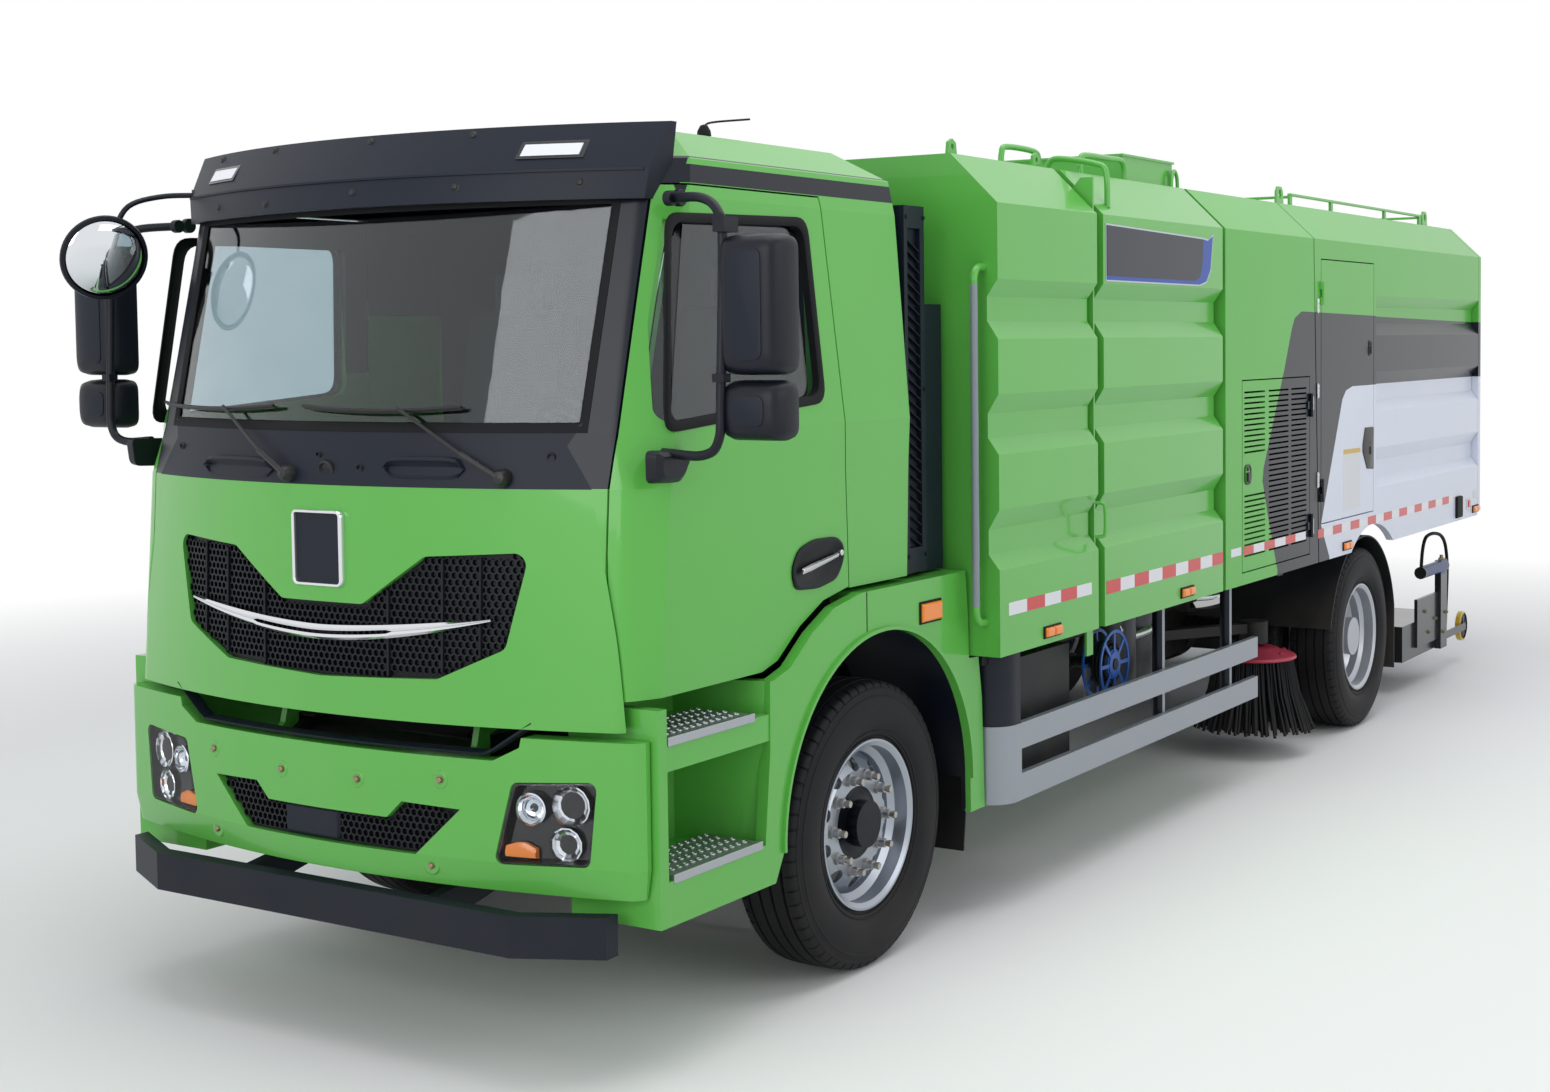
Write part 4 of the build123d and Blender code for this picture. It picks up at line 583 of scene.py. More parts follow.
# Headlamps: a clear moulded cover over a dark bezel with a projector, two chromed bowls and an amber indicator.
# Each lamp follows the bumper's curve round its front corner.
def clear_glass(name, ior):
    """A clear material, and its tree and shader for what the glass still needs."""
    material = bpy.data.materials.new(name)
    material.use_nodes = True
    shader = material.node_tree.nodes["Principled BSDF"]
    shader.inputs["Transmission Weight"].default_value = 1.0
    shader.inputs["IOR"].default_value = ior
    return material, material.node_tree, shader


lamp_clear, tree, shader = clear_glass("headlamp cover", 1.25)
shader.inputs["Base Color"].default_value = (0.94, 0.97, 1.0, 1)
tint = shader_node(tree, "TexNoise", {"Scale": 8})
tint_range = shader_node(tree, "MapRange", {"Value": tint.outputs["Fac"], "To Min": 0.01, "To Max": 0.05})
tree.links.new(tint_range.outputs["Result"], shader.inputs["Roughness"])
amber = surface("amber lens", linear(240, 130, 20), 0.2, dust=0.05, grain=350, relief=0.4, coat=0.5)
bezel_black = surface("lamp bezel", linear(16, 18, 22), 0.25, dust=0.02, relief=0.1, coat=0.3)
bowl_chrome = surface("lamp bowl", linear(226, 228, 232), 0.12, metallic=1.0, dust=0.0, grain=60, relief=0.35)
PROJECTOR_Y, PROJECTOR_Z = 0.765, 0.815
LAMP_CORNER = 0.022
LAMP_OUTLINE = ((0.986, 0.906), (0.716, 0.892), (0.652, 0.648), (0.960, 0.658))


def lamp_loop(inset, deep, hand, steps=10):
    """The lamp's outline drawn in by an inset, lying a depth behind the bumper's face."""
    centre_y = sum(p[0] for p in LAMP_OUTLINE) / 4
    centre_z = sum(p[1] for p in LAMP_OUTLINE) / 4
    corners = []
    for y, z in LAMP_OUTLINE:
        away = Vector((y - centre_y, z - centre_z))
        corners.append(Vector((y, z)) - away.normalized() * inset * 1.3)
    points = []
    for i, corner in enumerate(corners):
        before = (corners[i - 1] - corner).normalized()
        after = (corners[(i + 1) % 4] - corner).normalized()
        for n in range(steps):
            t = n / (steps - 1)
            a = corner + before * LAMP_CORNER * (1 - t) ** 2 + after * LAMP_CORNER * t ** 2
            points.append(a)
    return [at(bumper_x(p.x, p.y) - deep, hand * p.x, p.y) for p in points]


def lamp_bowl(maker, y, z, hand, radius, deep, depth, facets=0):
    """A bowl of turned profile that opens forwards."""
    x = bumper_x(y, z) - deep
    profile = [(radius + 0.004, 0.004), (radius, 0.006), (radius * 0.96, 0.0), (radius * 0.8, -depth * 0.5),
               (radius * 0.45, -depth * 0.9), (0.0006, -depth)]
    turn(maker, profile, at(x, hand * y, z), (1, hand * 0.22, 0), facets or 40, closed=False)


for hand, name in SIDES:
    tray = bmesh.new()
    loops = [[tray.verts.new(p) for p in lamp_loop(i, d, hand)] for i, d in ((0.0006, 0.010), (0.006, 0.009),
                                                                            (0.010, 0.030), (0.014, 0.048))]
    bridge(tray, loops)
    tray.faces.new(loops[-1])
    new_piece(f"headlamp_tray_{name}", tray, bezel_black, "chassis", 50)
    bowls = bmesh.new()
    lamp_bowl(bowls, PROJECTOR_Y, PROJECTOR_Z, hand, 0.046, 0.020, 0.030)
    lamp_bowl(bowls, 0.888, 0.830, hand, 0.060, 0.030, 0.030, 14)
    lamp_bowl(bowls, 0.872, 0.712, hand, 0.050, 0.030, 0.026, 12)
    new_piece(f"headlamp_bowls_{name}", bowls, bowl_chrome, "chassis", 12, outward=False)
    lens = bmesh.new()
    turn(lens, [(0.0006, 0.016), (0.016, 0.014), (0.028, 0.008), (0.036, -0.002), (0.036, -0.012), (0.0006, -0.012)],
         at(bumper_x(PROJECTOR_Y, PROJECTOR_Z) - 0.030, hand * PROJECTOR_Y, PROJECTOR_Z), (1, hand * 0.15, 0), 40)
    new_piece(f"headlamp_projector_{name}", lens, lamp_clear, "chassis", 60)
    winker = bmesh.new()
    rows = []
    for n in range(9):
        y = 0.678 + n * 0.0125
        low = 0.664
        high = 0.700 + 0.012 * min(1, n / 3) - 0.016 * max(0, n - 5) / 3
        x = bumper_x(y, 0.68) - 0.020
        rows.append([at(x - 0.02, hand * y, low), at(x, hand * y, low + 0.004),
                     at(x + 0.003, hand * y, (low + high) / 2), at(x - 0.004, hand * y, high),
                     at(x - 0.02, hand * y, high)])
    grid_strip(winker, rows)
    new_piece(f"headlamp_indicator_{name}", winker, amber, "chassis")
    lid = bmesh.new()
    outer = [lid.verts.new(p) for p in lamp_loop(0.0006, 0.002, hand)]
    mid = [lid.verts.new(p) for p in lamp_loop(0.006, 0.0, hand)]
    inner = [lid.verts.new(p) for p in lamp_loop(0.012, 0.0, hand)]
    back = [lid.verts.new(p) for p in lamp_loop(0.0006, 0.008, hand)]
    bridge(lid, [back, outer, mid, inner])
    lid.faces.new(inner)
    cover = new_piece(f"headlamp_cover_{name}", lid, lamp_clear, "chassis", 60)
    if hand > 0:
        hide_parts("headlamps")

# Cowl and windscreen: a dark plastic panel with two grab recesses, and two wipers with their arms.
# The screen is laminated glass in a black surround.
recess_black = surface("recess black", linear(8, 10, 13), 0.5, dust=0.02, relief=0.2)
holds = bmesh.new()
for y0, y1, z in ((-0.60, -0.22, 1.812), (0.262, 0.545, 1.826)):
    rows = []
    for n in range(15):
        y = y0 + (y1 - y0) * n / 14
        tall = 0.034 * math.sqrt(max(0.0, 1 - (2 * n / 14 - 1) ** 6)) + 0.002
        x = front_x(y, z)
        rows.append([at(x - 0.02, y, z - tall), at(x + 0.006, y, z - tall), at(x + 0.010, y, z - tall * 0.8),
                     at(x + 0.004, y, z - tall * 0.55), at(x - 0.004, y, z), at(x + 0.004, y, z + tall * 0.4),
                     at(x + 0.018, y, z + tall * 0.7), at(x + 0.014, y, z + tall), at(x - 0.02, y, z + tall)])
    grid_strip(holds, rows)
new_piece("cowl_grab_recesses", holds, dark_plastic, "cab", 30)
dimples = bmesh.new()
for y, z, r in ((0.020, 1.812, 0.030), (0.160, 1.822, 0.012), (0.813, 1.862, 0.013), (-0.80, 1.865, 0.013),
                (-0.02, 1.86, 0.010)):
    turn(dimples, [(0.0005, -0.004), (r * 0.7, -0.003), (r * 0.85, 0.004), (r, 0.005), (r * 1.1, 0.0),
                   (r * 1.1, -0.01)], at(front_x(y, z), y, z), (1, y * 0.4, -0.25), 24, closed=False)
new_piece("cowl_plugs", dimples, recess_black, "cab", 30, outward=False)

wiper_black = surface("wiper black", linear(13, 14, 17), 0.45, dust=0.05, relief=0.15)


def smooth_path(points, steps=8):
    """A smooth run through the points, as many short steps."""
    out = []
    pts = [Vector(p) for p in points]
    pts = [pts[0] * 2 - pts[1]] + pts + [pts[-1] * 2 - pts[-2]]
    for i in range(1, len(pts) - 2):
        p0, p1, p2, p3 = pts[i - 1:i + 3]
        for n in range(steps):
            t = n / steps
            out.append(0.5 * ((2 * p1) + (p2 - p0) * t + (2 * p0 - 5 * p1 + 4 * p2 - p3) * t * t +
                              (3 * p1 - p0 - 3 * p2 + p3) * t ** 3))
    out.append(pts[-2])
    return out


def tube(maker, points, radius, sides=12, radii=None):
    """A round bar along a run of points, with closed ends."""
    pts = [Vector(p) for p in points]
    rings = []
    side = None
    for i, p in enumerate(pts):
        along = (pts[min(i + 1, len(pts) - 1)] - pts[max(i - 1, 0)]).normalized()
        if side is None:
            side = along.orthogonal().normalized()
        side = (side - along * side.dot(along)).normalized()
        other = along.cross(side)
        r = radii[i] if radii else radius
        rings.append([maker.verts.new(p + r * (math.cos(2 * math.pi * n / sides) * side +
                                              math.sin(2 * math.pi * n / sides) * other)) for n in range(sides)])
    bridge(maker, rings)
    maker.faces.new(list(reversed(rings[0])))
    maker.faces.new(rings[-1])


wipers = bmesh.new()
for pivot_y, joint_y, blade_y0, blade_y1 in ((-0.138, -0.515, -0.980, -0.250), (0.675, 0.300, -0.105, 0.515)):
    pivot_z = 1.800
    blade_z = 2.004
    turn(wipers, [(0.0005, 0.040), (0.018, 0.036), (0.026, 0.022), (0.028, 0.0), (0.034, -0.02)],
         at(front_x(pivot_y, pivot_z), pivot_y, pivot_z), (1, pivot_y * 0.3, 0.1), 24, closed=False)
    foot = at(front_x(pivot_y, pivot_z) + 0.030, pivot_y, pivot_z + 0.004)
    mid_y = pivot_y + (joint_y - pivot_y) * 0.33
    knee = at(front_x(mid_y, 1.872) + 0.040, mid_y, 1.872)
    tip = at(front_x(joint_y, blade_z) + 0.030, joint_y, blade_z + 0.003)
    tube(wipers, [foot, foot + (knee - foot) * 0.5, knee], 0.0095, 8)
    tube(wipers, smooth_path([knee, knee + (tip - knee) * 0.5, tip], 4), 0.0055, 8)
    spine = []
    lips = []
    for n in range(21):
        y = blade_y0 + (blade_y1 - blade_y0) * n / 20
        bow = 1 - (2 * n / 20 - 1) ** 2
        z = blade_z + 0.004 - 0.012 * bow
        x = front_x(y, z) + 0.013
        spine.append(at(x + 0.004 + 0.008 * bow, y, z + 0.004))
        lips.append([at(x - 0.014, y, z - 0.002), at(x, y, z - 0.006), at(x + 0.002, y, z + 0.004),
                     at(x - 0.014, y, z + 0.001)])
    tube(wipers, spine, 0.0055, 8)
    grid_strip(wipers, lips)
new_piece("wipers", wipers, wiper_black, "cab", 40)

screen_glass, tree, shader = clear_glass("laminated glass", 1.5)
haze = shader_node(tree, "TexNoise", {"Scale": 3, "Detail": 4}).outputs["Fac"]
haze_color = shader_node(tree, "ValToRGB", {"Fac": haze})
haze_color.color_ramp.elements[0].color = (0.52, 0.62, 0.66, 1)
haze_color.color_ramp.elements[1].color = (0.60, 0.70, 0.73, 1)
haze_rough = shader_node(tree, "MapRange", {"Value": haze, "To Min": 0.0, "To Max": 0.03})
tree.links.new(haze_color.outputs["Color"], shader.inputs["Base Color"])
tree.links.new(haze_rough.outputs["Result"], shader.inputs["Roughness"])
for node in ("windscreen", "door_glass_left", "door_glass_right"):
    dress(node, screen_glass)

surround = bmesh.new()
SCREEN_HALF_WIDTH, SCREEN_HALF_HEIGHT, SCREEN_MIDDLE_Z = 0.9, 0.345, 2.291
SCREEN_OUTLINE = ((-0.897, 1.946), (0.897, 1.946), (0.907, 2.637), (-0.907, 2.637))
loops = []
for inset, deep in ((-0.012, -0.003), (-0.012, 0.002), (0.0, 0.003), (0.018, -0.004), (0.018, -0.010)):
    loop = []
    for (y0, z0), (y1, z1) in zip(SCREEN_OUTLINE, SCREEN_OUTLINE[1:] + SCREEN_OUTLINE[:1]):
        for n in range(24):
            y, z = y0 + (y1 - y0) * n / 24, z0 + (z1 - z0) * n / 24
            y *= (SCREEN_HALF_WIDTH - inset) / SCREEN_HALF_WIDTH
            z = SCREEN_MIDDLE_Z + (z - SCREEN_MIDDLE_Z) * (SCREEN_HALF_HEIGHT - inset) / SCREEN_HALF_HEIGHT
            loop.append(surround.verts.new(at(front_x(y, z) + deep, y, z)))
    loops.append(loop)
bridge(surround, loops)
new_piece("windscreen_surround", surround, rubber_black, "cab", 50)

# Sun visor: a moulded dark shade over the screen, with two marker lamps, a crease and nine small bolts.
# The lamps have pale lenses in dark frames.
VISOR_LEVELS = ((2.632, 1.120, 1.000, 1.372), (2.722, 1.112, 1.013, 1.352), (2.868, 1.025, 1.034, 1.248))
lamp_white = surface("marker lamp lens", linear(228, 232, 240), 0.25, dust=0.0, grain=80, relief=0.3, coat=0.5)


def visor_x(y, z):
    return front_x(y, z, VISOR_LEVELS)


frames = bmesh.new()
lights = bmesh.new()
for y0, y1 in ((-0.845, -0.665), (0.615, 0.805)):
    for maker, grow, out, z0, z1 in ((frames, 0.010, 0.003, 2.757, 2.818), (lights, -0.004, 0.006, 2.766, 2.809)):
        rows = []
        for n in range(9):
            y = y0 - grow + (y1 - y0 + 2 * grow) * n / 8
            rows.append([at(visor_x(y, z0) - 0.02, y, z0), at(visor_x(y, z0) + out, y, z0 + 0.003),
                         at(visor_x(y, z1) + out, y, z1 - 0.003), at(visor_x(y, z1) - 0.02, y, z1)])
        grid_strip(maker, rows)
soften(new_piece("visor_lamp_frames", frames, bezel_black, "cab"), 0.002)
soften(new_piece("visor_lamp_lenses", lights, lamp_white, "cab"), 0.002)
bolts = bmesh.new()
for y, z in ((-0.72, 2.672), (-0.396, 2.664), (0.032, 2.680), (0.426, 2.682), (0.82, 2.684), (-0.469, 2.850),
             (0.019, 2.846), (0.42, 2.846), (-0.83, 2.846)):
    turn(bolts, [(0.0005, 0.007), (0.009, 0.005), (0.012, 0.0), (0.016, -0.001), (0.016, -0.006)],
         at(visor_x(y, z), y, z), (1, y * 0.35, 0.2), 18, closed=False)
new_piece("visor_bolts", bolts, recess_black, "cab", 30, outward=False)
seam = bmesh.new()
rows = []
for n in range(41):
    y = -1.0 + n * 0.05
    x = visor_x(y, 2.722)
    rows.append([at(x - 0.01, y, 2.716), at(x + 0.006, y, 2.717), at(x + 0.006, y, 2.724), at(x - 0.01, y, 2.726)])
grid_strip(seam, rows)
new_piece("visor_crease", seam, dark_plastic, "cab", 30)


# Body paint: leaf green in front, a near-black slanted band and pale silver behind, each in glossy clear coat.
# The bands follow one drawing along the fan compartment, the doors and the hopper, the same on both sides.
def piecewise(group, value, points):
    """A value that runs straight between given points of (input, output)."""
    total = None
    for (a0, b0), (a1, b1) in zip(points, points[1:]):
        low, high = (b0, b1) if total is None else (0.0, b1 - b0)
        part = shader_node(group, "MapRange", {"Value": value, "From Min": a0, "From Max": a1, "To Min": low,
                                               "To Max": high}).outputs["Result"]
        total = part if total is None else work(group, "ADD", total, part)
    return total


def livery_group():
    group, given, out = new_group(
        "livery bands", [("Green", "NodeSocketColor", (0, 1, 0, 1)), ("Dark", "NodeSocketColor", (0, 0, 0, 1)),
                         ("Silver", "NodeSocketColor", (1, 1, 1, 1))], [("Color", "NodeSocketColor")])
    split = shader_node(group, "SeparateXYZ", {0: shader_node(group, "TexCoord").outputs["Object"]})
    x, z = work(group, "SUBTRACT", split.outputs["X"], AXLE_X), split.outputs["Z"]
    edge_one = piecewise(group, z, [(1.045, -3.564), (1.319, -3.434), (1.500, -3.357), (1.560, -3.372),
                                    (2.027, -3.660), (2.240, -3.775), (2.290, -3.815), (2.325, -3.920)])
    top_one = piecewise(group, x, [(-7.400, 2.278), (-3.960, 2.324)])
    edge_two = piecewise(group, z, [(1.034, -4.354), (1.213, -4.218), (1.860, -4.566), (1.905, -4.625),
                                    (1.926, -4.740)])
    mixed = given.outputs["Green"]
    for edge, top, label in ((edge_one, top_one, "Dark"), (edge_two, 1.925, "Silver")):
        band = work(group, "MULTIPLY", work(group, "LESS_THAN", x, edge), work(group, "LESS_THAN", z, top))
        mixed = shader_node(group, "Mix", {"Factor": band, "A": mixed, "B": given.outputs[label]},
                            data_type="RGBA").outputs["Result"]
    group.links.new(mixed, out.inputs["Color"])
    return group


body_paint = surface("body paint in bands", GREEN, 0.28, dust=0.07, dust_top=1.5, mottle=0.05, coat=0.12,
                     relief=0.02, waves=2.5, wave_share=0.8, specular=0.2)
bands = shader_node(body_paint.node_tree, "Group", {"Green": GREEN, "Dark": linear(14, 22, 31),
                                                    "Silver": linear(208, 214, 228)}, node_tree=livery_group())
body_paint.node_tree.links.new(bands.outputs["Color"], body_paint.node_tree.nodes["dust"].inputs["Color"])
for node in ("front_tank", "middle_tank"):
    dress(node, body_green, 0.003, 25)
for node in ("fan_compartment", "vent_door_left", "vent_door_right", "hopper", "side_door", "tailgate"):
    dress(node, body_paint, 0.003, 25)
SIDE = 1.275

# Reflective tape: red and white lengths along the lower edge of both sides, cut where the doors part.
# Amber side markers stand below it.
tape_red = surface("reflective tape red", linear(196, 40, 44), 0.35, dust=0.1, grain=900, relief=0.3, coat=0.3)
tape_white = surface("reflective tape white", linear(214, 216, 222), 0.35, dust=0.1, grain=900, relief=0.3, coat=0.3)


def flat_patch(maker, x0, x1, z0, z1, z2, z3, hand, out=0.0012):
    """A thin patch on the body's side: x0 to x1, with its lower and upper edge at each end."""
    y = hand * SIDE
    top = hand * (SIDE + out)
    block_points = [at(x0, y, z0), at(x1, y, z2), at(x1, y, z3), at(x0, y, z1)]
    face_points = [at(x0, top, z0), at(x1, top, z2), at(x1, top, z3), at(x0, top, z1)]
    a = [maker.verts.new(p) for p in block_points]
    b = [maker.verts.new(p) for p in face_points]
    maker.faces.new(b)
    bridge(maker, [a, b])


TAPE = (
    ("front", "chassis", (-0.690, -0.838, -0.990, -1.130, -1.275, -1.412), 1.168, 1.216, "WRWRW"),
    ("middle", "chassis", (-1.556, -1.693, -1.835, -1.985, -2.130, -2.280, -2.420, -2.565, -2.705, -2.840), 1.150,
     1.204, "RWRWRWRWR"),
    ("vent_edge", "chassis", (-2.941, -3.069), 1.166, 1.204, "W"),
    ("vent", "vent", (-3.105, -3.235, -3.379, -3.527, -3.678, -3.824, -3.979), 1.160, 1.201, "RWRWRW"),
    ("hopper", "hopper", (-4.170, -4.263, -4.407, -4.555, -4.701, -4.856, -5.003, -5.153, -5.294, -5.451, -5.592,
                          -5.750, -5.897, -6.048, -6.188, -6.345, -6.491, -6.639, -6.780), 1.146, 1.192,
     "RWRWRWRWRWRWRWRWRW"),
)
for name, owner, edges, z0, z1, colours in TAPE:
    for hand, side_name in SIDES:
        body = f"vent_door_{side_name}" if owner == "vent" else owner
        for letter, material, word in (("R", tape_red, "red"), ("W", tape_white, "white")):
            maker = bmesh.new()
            for i, colour in enumerate(colours):
                if colour == letter:
                    flat_patch(maker, edges[i], edges[i + 1], z0, z1, z0, z1, hand)
            if not maker.faces:
                maker.free()
                continue
            new_piece(f"tape_{name}_{word}_{side_name}", maker, material, body)


def side_box(maker, x0, x1, z0, z1, hand, out, sink=0.004, round_off=0.25):
    """A low moulded box on the body's side, with its outer edges drawn in."""
    y = hand * (SIDE - sink)
    mid = hand * (SIDE + out * 0.6)
    top = hand * (SIDE + out)
    pull = out * round_off
    loops = []
    for yy, p in ((y, 0), (mid, 0), (top, pull)):
        loops.append([at(x0 + p, yy, z0 + p), at(x1 - p, yy, z0 + p), at(x1 - p, yy, z1 - p), at(x0 + p, yy, z1 - p)])
    grid_strip(maker, loops)


for hand, side_name in SIDES:
    for name, body, x in (("front", "chassis", -1.051), ("middle", "chassis", -2.407), ("hopper", "hopper", -4.642),
                          ("rear", "hopper", -7.262)):
        seats = bmesh.new()
        side_box(seats, x - 0.075, x + 0.075, 1.042, 1.090, hand, 0.006)
        soften(new_piece(f"marker_seat_{name}_{side_name}", seats, rubber_black, body), 0.003)
        lens = bmesh.new()
        side_box(lens, x - 0.066, x - 0.004, 1.048, 1.084, hand, 0.020)
        side_box(lens, x + 0.004, x + 0.066, 1.048, 1.084, hand, 0.020)
        soften(new_piece(f"marker_lens_{name}_{side_name}", lens, amber, body), 0.004)

# Door furniture: black pull latches in rounded dishes, a bare label, and pads, lamps and plates at the rear.
# The latches are die cast and powder coated.
latch_black = surface("latch black", linear(16, 17, 19), 0.35, dust=0.05, grain=300, relief=0.2)
label_white = surface("blank label", linear(206, 208, 212), 0.4, dust=0.05, relief=0.05)
label_yellow = surface("label header", linear(200, 165, 70), 0.4, dust=0.05, relief=0.05)


def latch(name, x, z, wide, tall, hand, body):
    dish = bmesh.new()
    loops = []
    for grow, out in ((0.0, -0.004), (0.0, 0.003), (-0.006, 0.005), (-0.012, -0.003)):
        outline = rounded_frame(wide / 2 + grow, -tall / 2 - grow, tall / 2 + grow, wide * 0.3)
        loops.append([at(x + a, hand * (SIDE + out), z + b) for a, b in outline])
    grid_strip(dish, loops)
    new_piece(f"{name}_dish", dish, latch_black, body, 50)
    grip = bmesh.new()
    side_box(grip, x - wide * 0.18, x + wide * 0.18, z - tall * 0.36, z + tall * 0.10, hand, 0.012)
    side_box(grip, x - wide * 0.12, x + wide * 0.12, z + tall * 0.18, z + tall * 0.36, hand, 0.007)
    soften(new_piece(f"{name}_grip", grip, latch_black, body), 0.002)


for hand, side_name in SIDES:
    latch(f"vent_latch_{side_name}", -3.158, 1.543, 0.088, 0.096, hand, f"vent_door_{side_name}")
latch("side_door_upper_latch", -5.040, 2.130, 0.052, 0.086, 1, "side_door")
plate = bmesh.new()
outline = [(-5.102, 1.690), (-5.102, 1.454), (-4.985, 1.462), (-4.908, 1.560), (-4.908, 1.600), (-4.950, 1.692)]
grid_strip(plate, [[at(x, SIDE - 0.003, z) for x, z in outline], [at(x, SIDE + 0.003, z) for x, z in outline],
                   [at(-5.02 + (x + 5.02) * 0.95, SIDE + 0.005, 1.575 + (z - 1.575) * 0.95) for x, z in outline]])
soften(new_piece("side_door_latch_plate", plate, latch_black, "side_door"), 0.004)
latch("side_door_latch", -5.036, 1.575, 0.060, 0.100, 1, "side_door")
label = bmesh.new()
flat_patch(label, -4.583, -4.872, 1.262, 1.562, 1.258, 1.560, 1, 0.0008)
new_piece("side_door_blank_label", label, label_white, "side_door")
label = bmesh.new()
flat_patch(label, -4.583, -4.872, 1.562, 1.588, 1.560, 1.584, 1, 0.0009)
new_piece("side_door_label_header", label, label_yellow, "side_door")

rear_red = surface("rear red lens", linear(170, 20, 24), 0.2, dust=0.05, grain=350, relief=0.4, coat=0.5)
for hand, side_name in SIDES:
    for name, material, x0, x1, z0, z1, out, rounding in (
            ("hand_pad", rubber_black, -6.912, -6.788, 1.040, 1.176, 0.018, 0.006),
            ("lamp_seat", label_white, -7.140, -7.046, 1.075, 1.147, 0.006, 0.003),
            ("lamp_lens", rear_red, -7.120, -7.066, 1.088, 1.134, 0.012, 0.004),
            ("blank_plate", label_white, -7.310, -7.215, 1.136, 1.186, 0.004, 0.002)):
        maker = bmesh.new()
        side_box(maker, x0, x1, z0, z1, hand, out)
        soften(new_piece(f"rear_{name}_{side_name}", maker, material, "hopper"), rounding)

# Panel on the middle tank: a bare dark sheet with a plain blue border along its lower and rear edge.
# The sheet stands 5 mm off the tank, the border 4.5 mm and the bright rim 3 mm.
panel_dark = surface("panel dark blue", linear(22, 26, 42), 0.35, dust=0.03, relief=0.05, coat=0.2, specular=0.3)
panel_blue = surface("panel blue", linear(24, 72, 160), 0.35, dust=0.03, relief=0.05, coat=0.1, specular=0.3)
panel_edge = surface("panel edge", linear(190, 196, 206), 0.25, metallic=0.6, dust=0.02, relief=0.05)
for hand, side_name in SIDES:
    for name, material, out, points in (
            ("rim", panel_edge, 0.003, ((-1.560, 2.665), (-1.560, 2.430), (-2.560, 2.428), (-2.640, 2.444),
                                        (-2.690, 2.500), (-2.722, 2.668), (-2.660, 2.640), (-2.600, 2.645))),
            ("sheet", panel_dark, 0.005, ((-1.567, 2.658), (-1.567, 2.452), (-2.500, 2.450), (-2.560, 2.470),
                                          (-2.585, 2.520), (-2.600, 2.638))),
            ("border", panel_blue, 0.0045, ((-1.567, 2.452), (-1.567, 2.436), (-2.555, 2.434), (-2.634, 2.450),
                                            (-2.683, 2.505), (-2.712, 2.656), (-2.655, 2.633), (-2.600, 2.638),
                                            (-2.585, 2.520), (-2.560, 2.470), (-2.500, 2.450)))):
        maker = bmesh.new()
        low = [maker.verts.new(at(x, hand * (SIDE - 0.001), z)) for x, z in points]
        top = [maker.verts.new(at(x, hand * (SIDE + out), z)) for x, z in points]
        maker.faces.new(top)
        bridge(maker, [low, top])
        new_piece(f"name_place_{name}_{side_name}", maker, material, "chassis", 40)


# Cab shell and fenders: the same leaf green, with trim zones in dark plastic told by their place.
# The windscreen pillars, a strip along the roof's edge and the liners in the wheel arches are dark.
def zoned_group(name, boxes, arch=None):
    """A trim in place of a paint inside ranges of x, |y| and z, and inside the wheel arch."""
    group, given, out = new_group(
        name, [("Paint", "NodeSocketColor", (0, 1, 0, 1)), ("Trim", "NodeSocketColor", (0, 0, 0, 1)),
               ("Coat", "NodeSocketFloat", 0.4)], [("Color", "NodeSocketColor"), ("Coat", "NodeSocketFloat")])
    split = shader_node(group, "SeparateXYZ", {0: shader_node(group, "TexCoord").outputs["Object"]})
    along = work(group, "SUBTRACT", split.outputs["X"], AXLE_X)
    across = work(group, "ABSOLUTE", split.outputs["Y"])
    up = split.outputs["Z"]
    total = None
    for ranges in boxes:
        share = None
        for value, (low, high) in zip((along, across, up), ranges):
            for test in (work(group, "GREATER_THAN", value, low), work(group, "LESS_THAN", value, high)):
                share = test if share is None else work(group, "MULTIPLY", share, test)
        total = share if total is None else work(group, "MAXIMUM", total, share)
    if arch:
        arch_x, arch_z, arch_radius, reach = arch
        dx = work(group, "SUBTRACT", along, arch_x)
        dz = work(group, "SUBTRACT", up, arch_z)
        far = work(group, "ADD", work(group, "MULTIPLY", dx, dx), work(group, "MULTIPLY", dz, dz))
        hollow = work(group, "MULTIPLY", work(group, "LESS_THAN", far, arch_radius ** 2),
                      work(group, "LESS_THAN", across, reach))
        total = hollow if total is None else work(group, "MAXIMUM", total, hollow)
    mix = shader_node(group, "Mix", {"Factor": total, "A": given.outputs["Paint"], "B": given.outputs["Trim"]},
                      data_type="RGBA")
    group.links.new(mix.outputs["Result"], out.inputs["Color"])
    coat = work(group, "MULTIPLY", work(group, "SUBTRACT", 1.0, total), given.outputs["Coat"])
    group.links.new(coat, out.inputs["Coat"])
    return group


def zoned_paint(name, group, paint=GREEN, trim=linear(13, 20, 32), coat=0.4, metallic=0.0):
    """A paint that gives way to its trim, without clear coat, in the places of a zoned group."""
    material = surface(name, paint, 0.28, metallic=metallic, dust=0.07, dust_top=1.5, mottle=0.05, relief=0.02,
                       waves=2.5, wave_share=0.8, specular=0.3)
    tree = material.node_tree
    zones = shader_node(tree, "Group", {"Paint": paint, "Trim": trim, "Coat": coat}, node_tree=group)
    tree.links.new(zones.outputs["Color"], tree.nodes["dust"].inputs["Color"])
    tree.links.new(zones.outputs["Coat"], tree.nodes["Principled BSDF"].inputs["Coat Weight"])
    return material


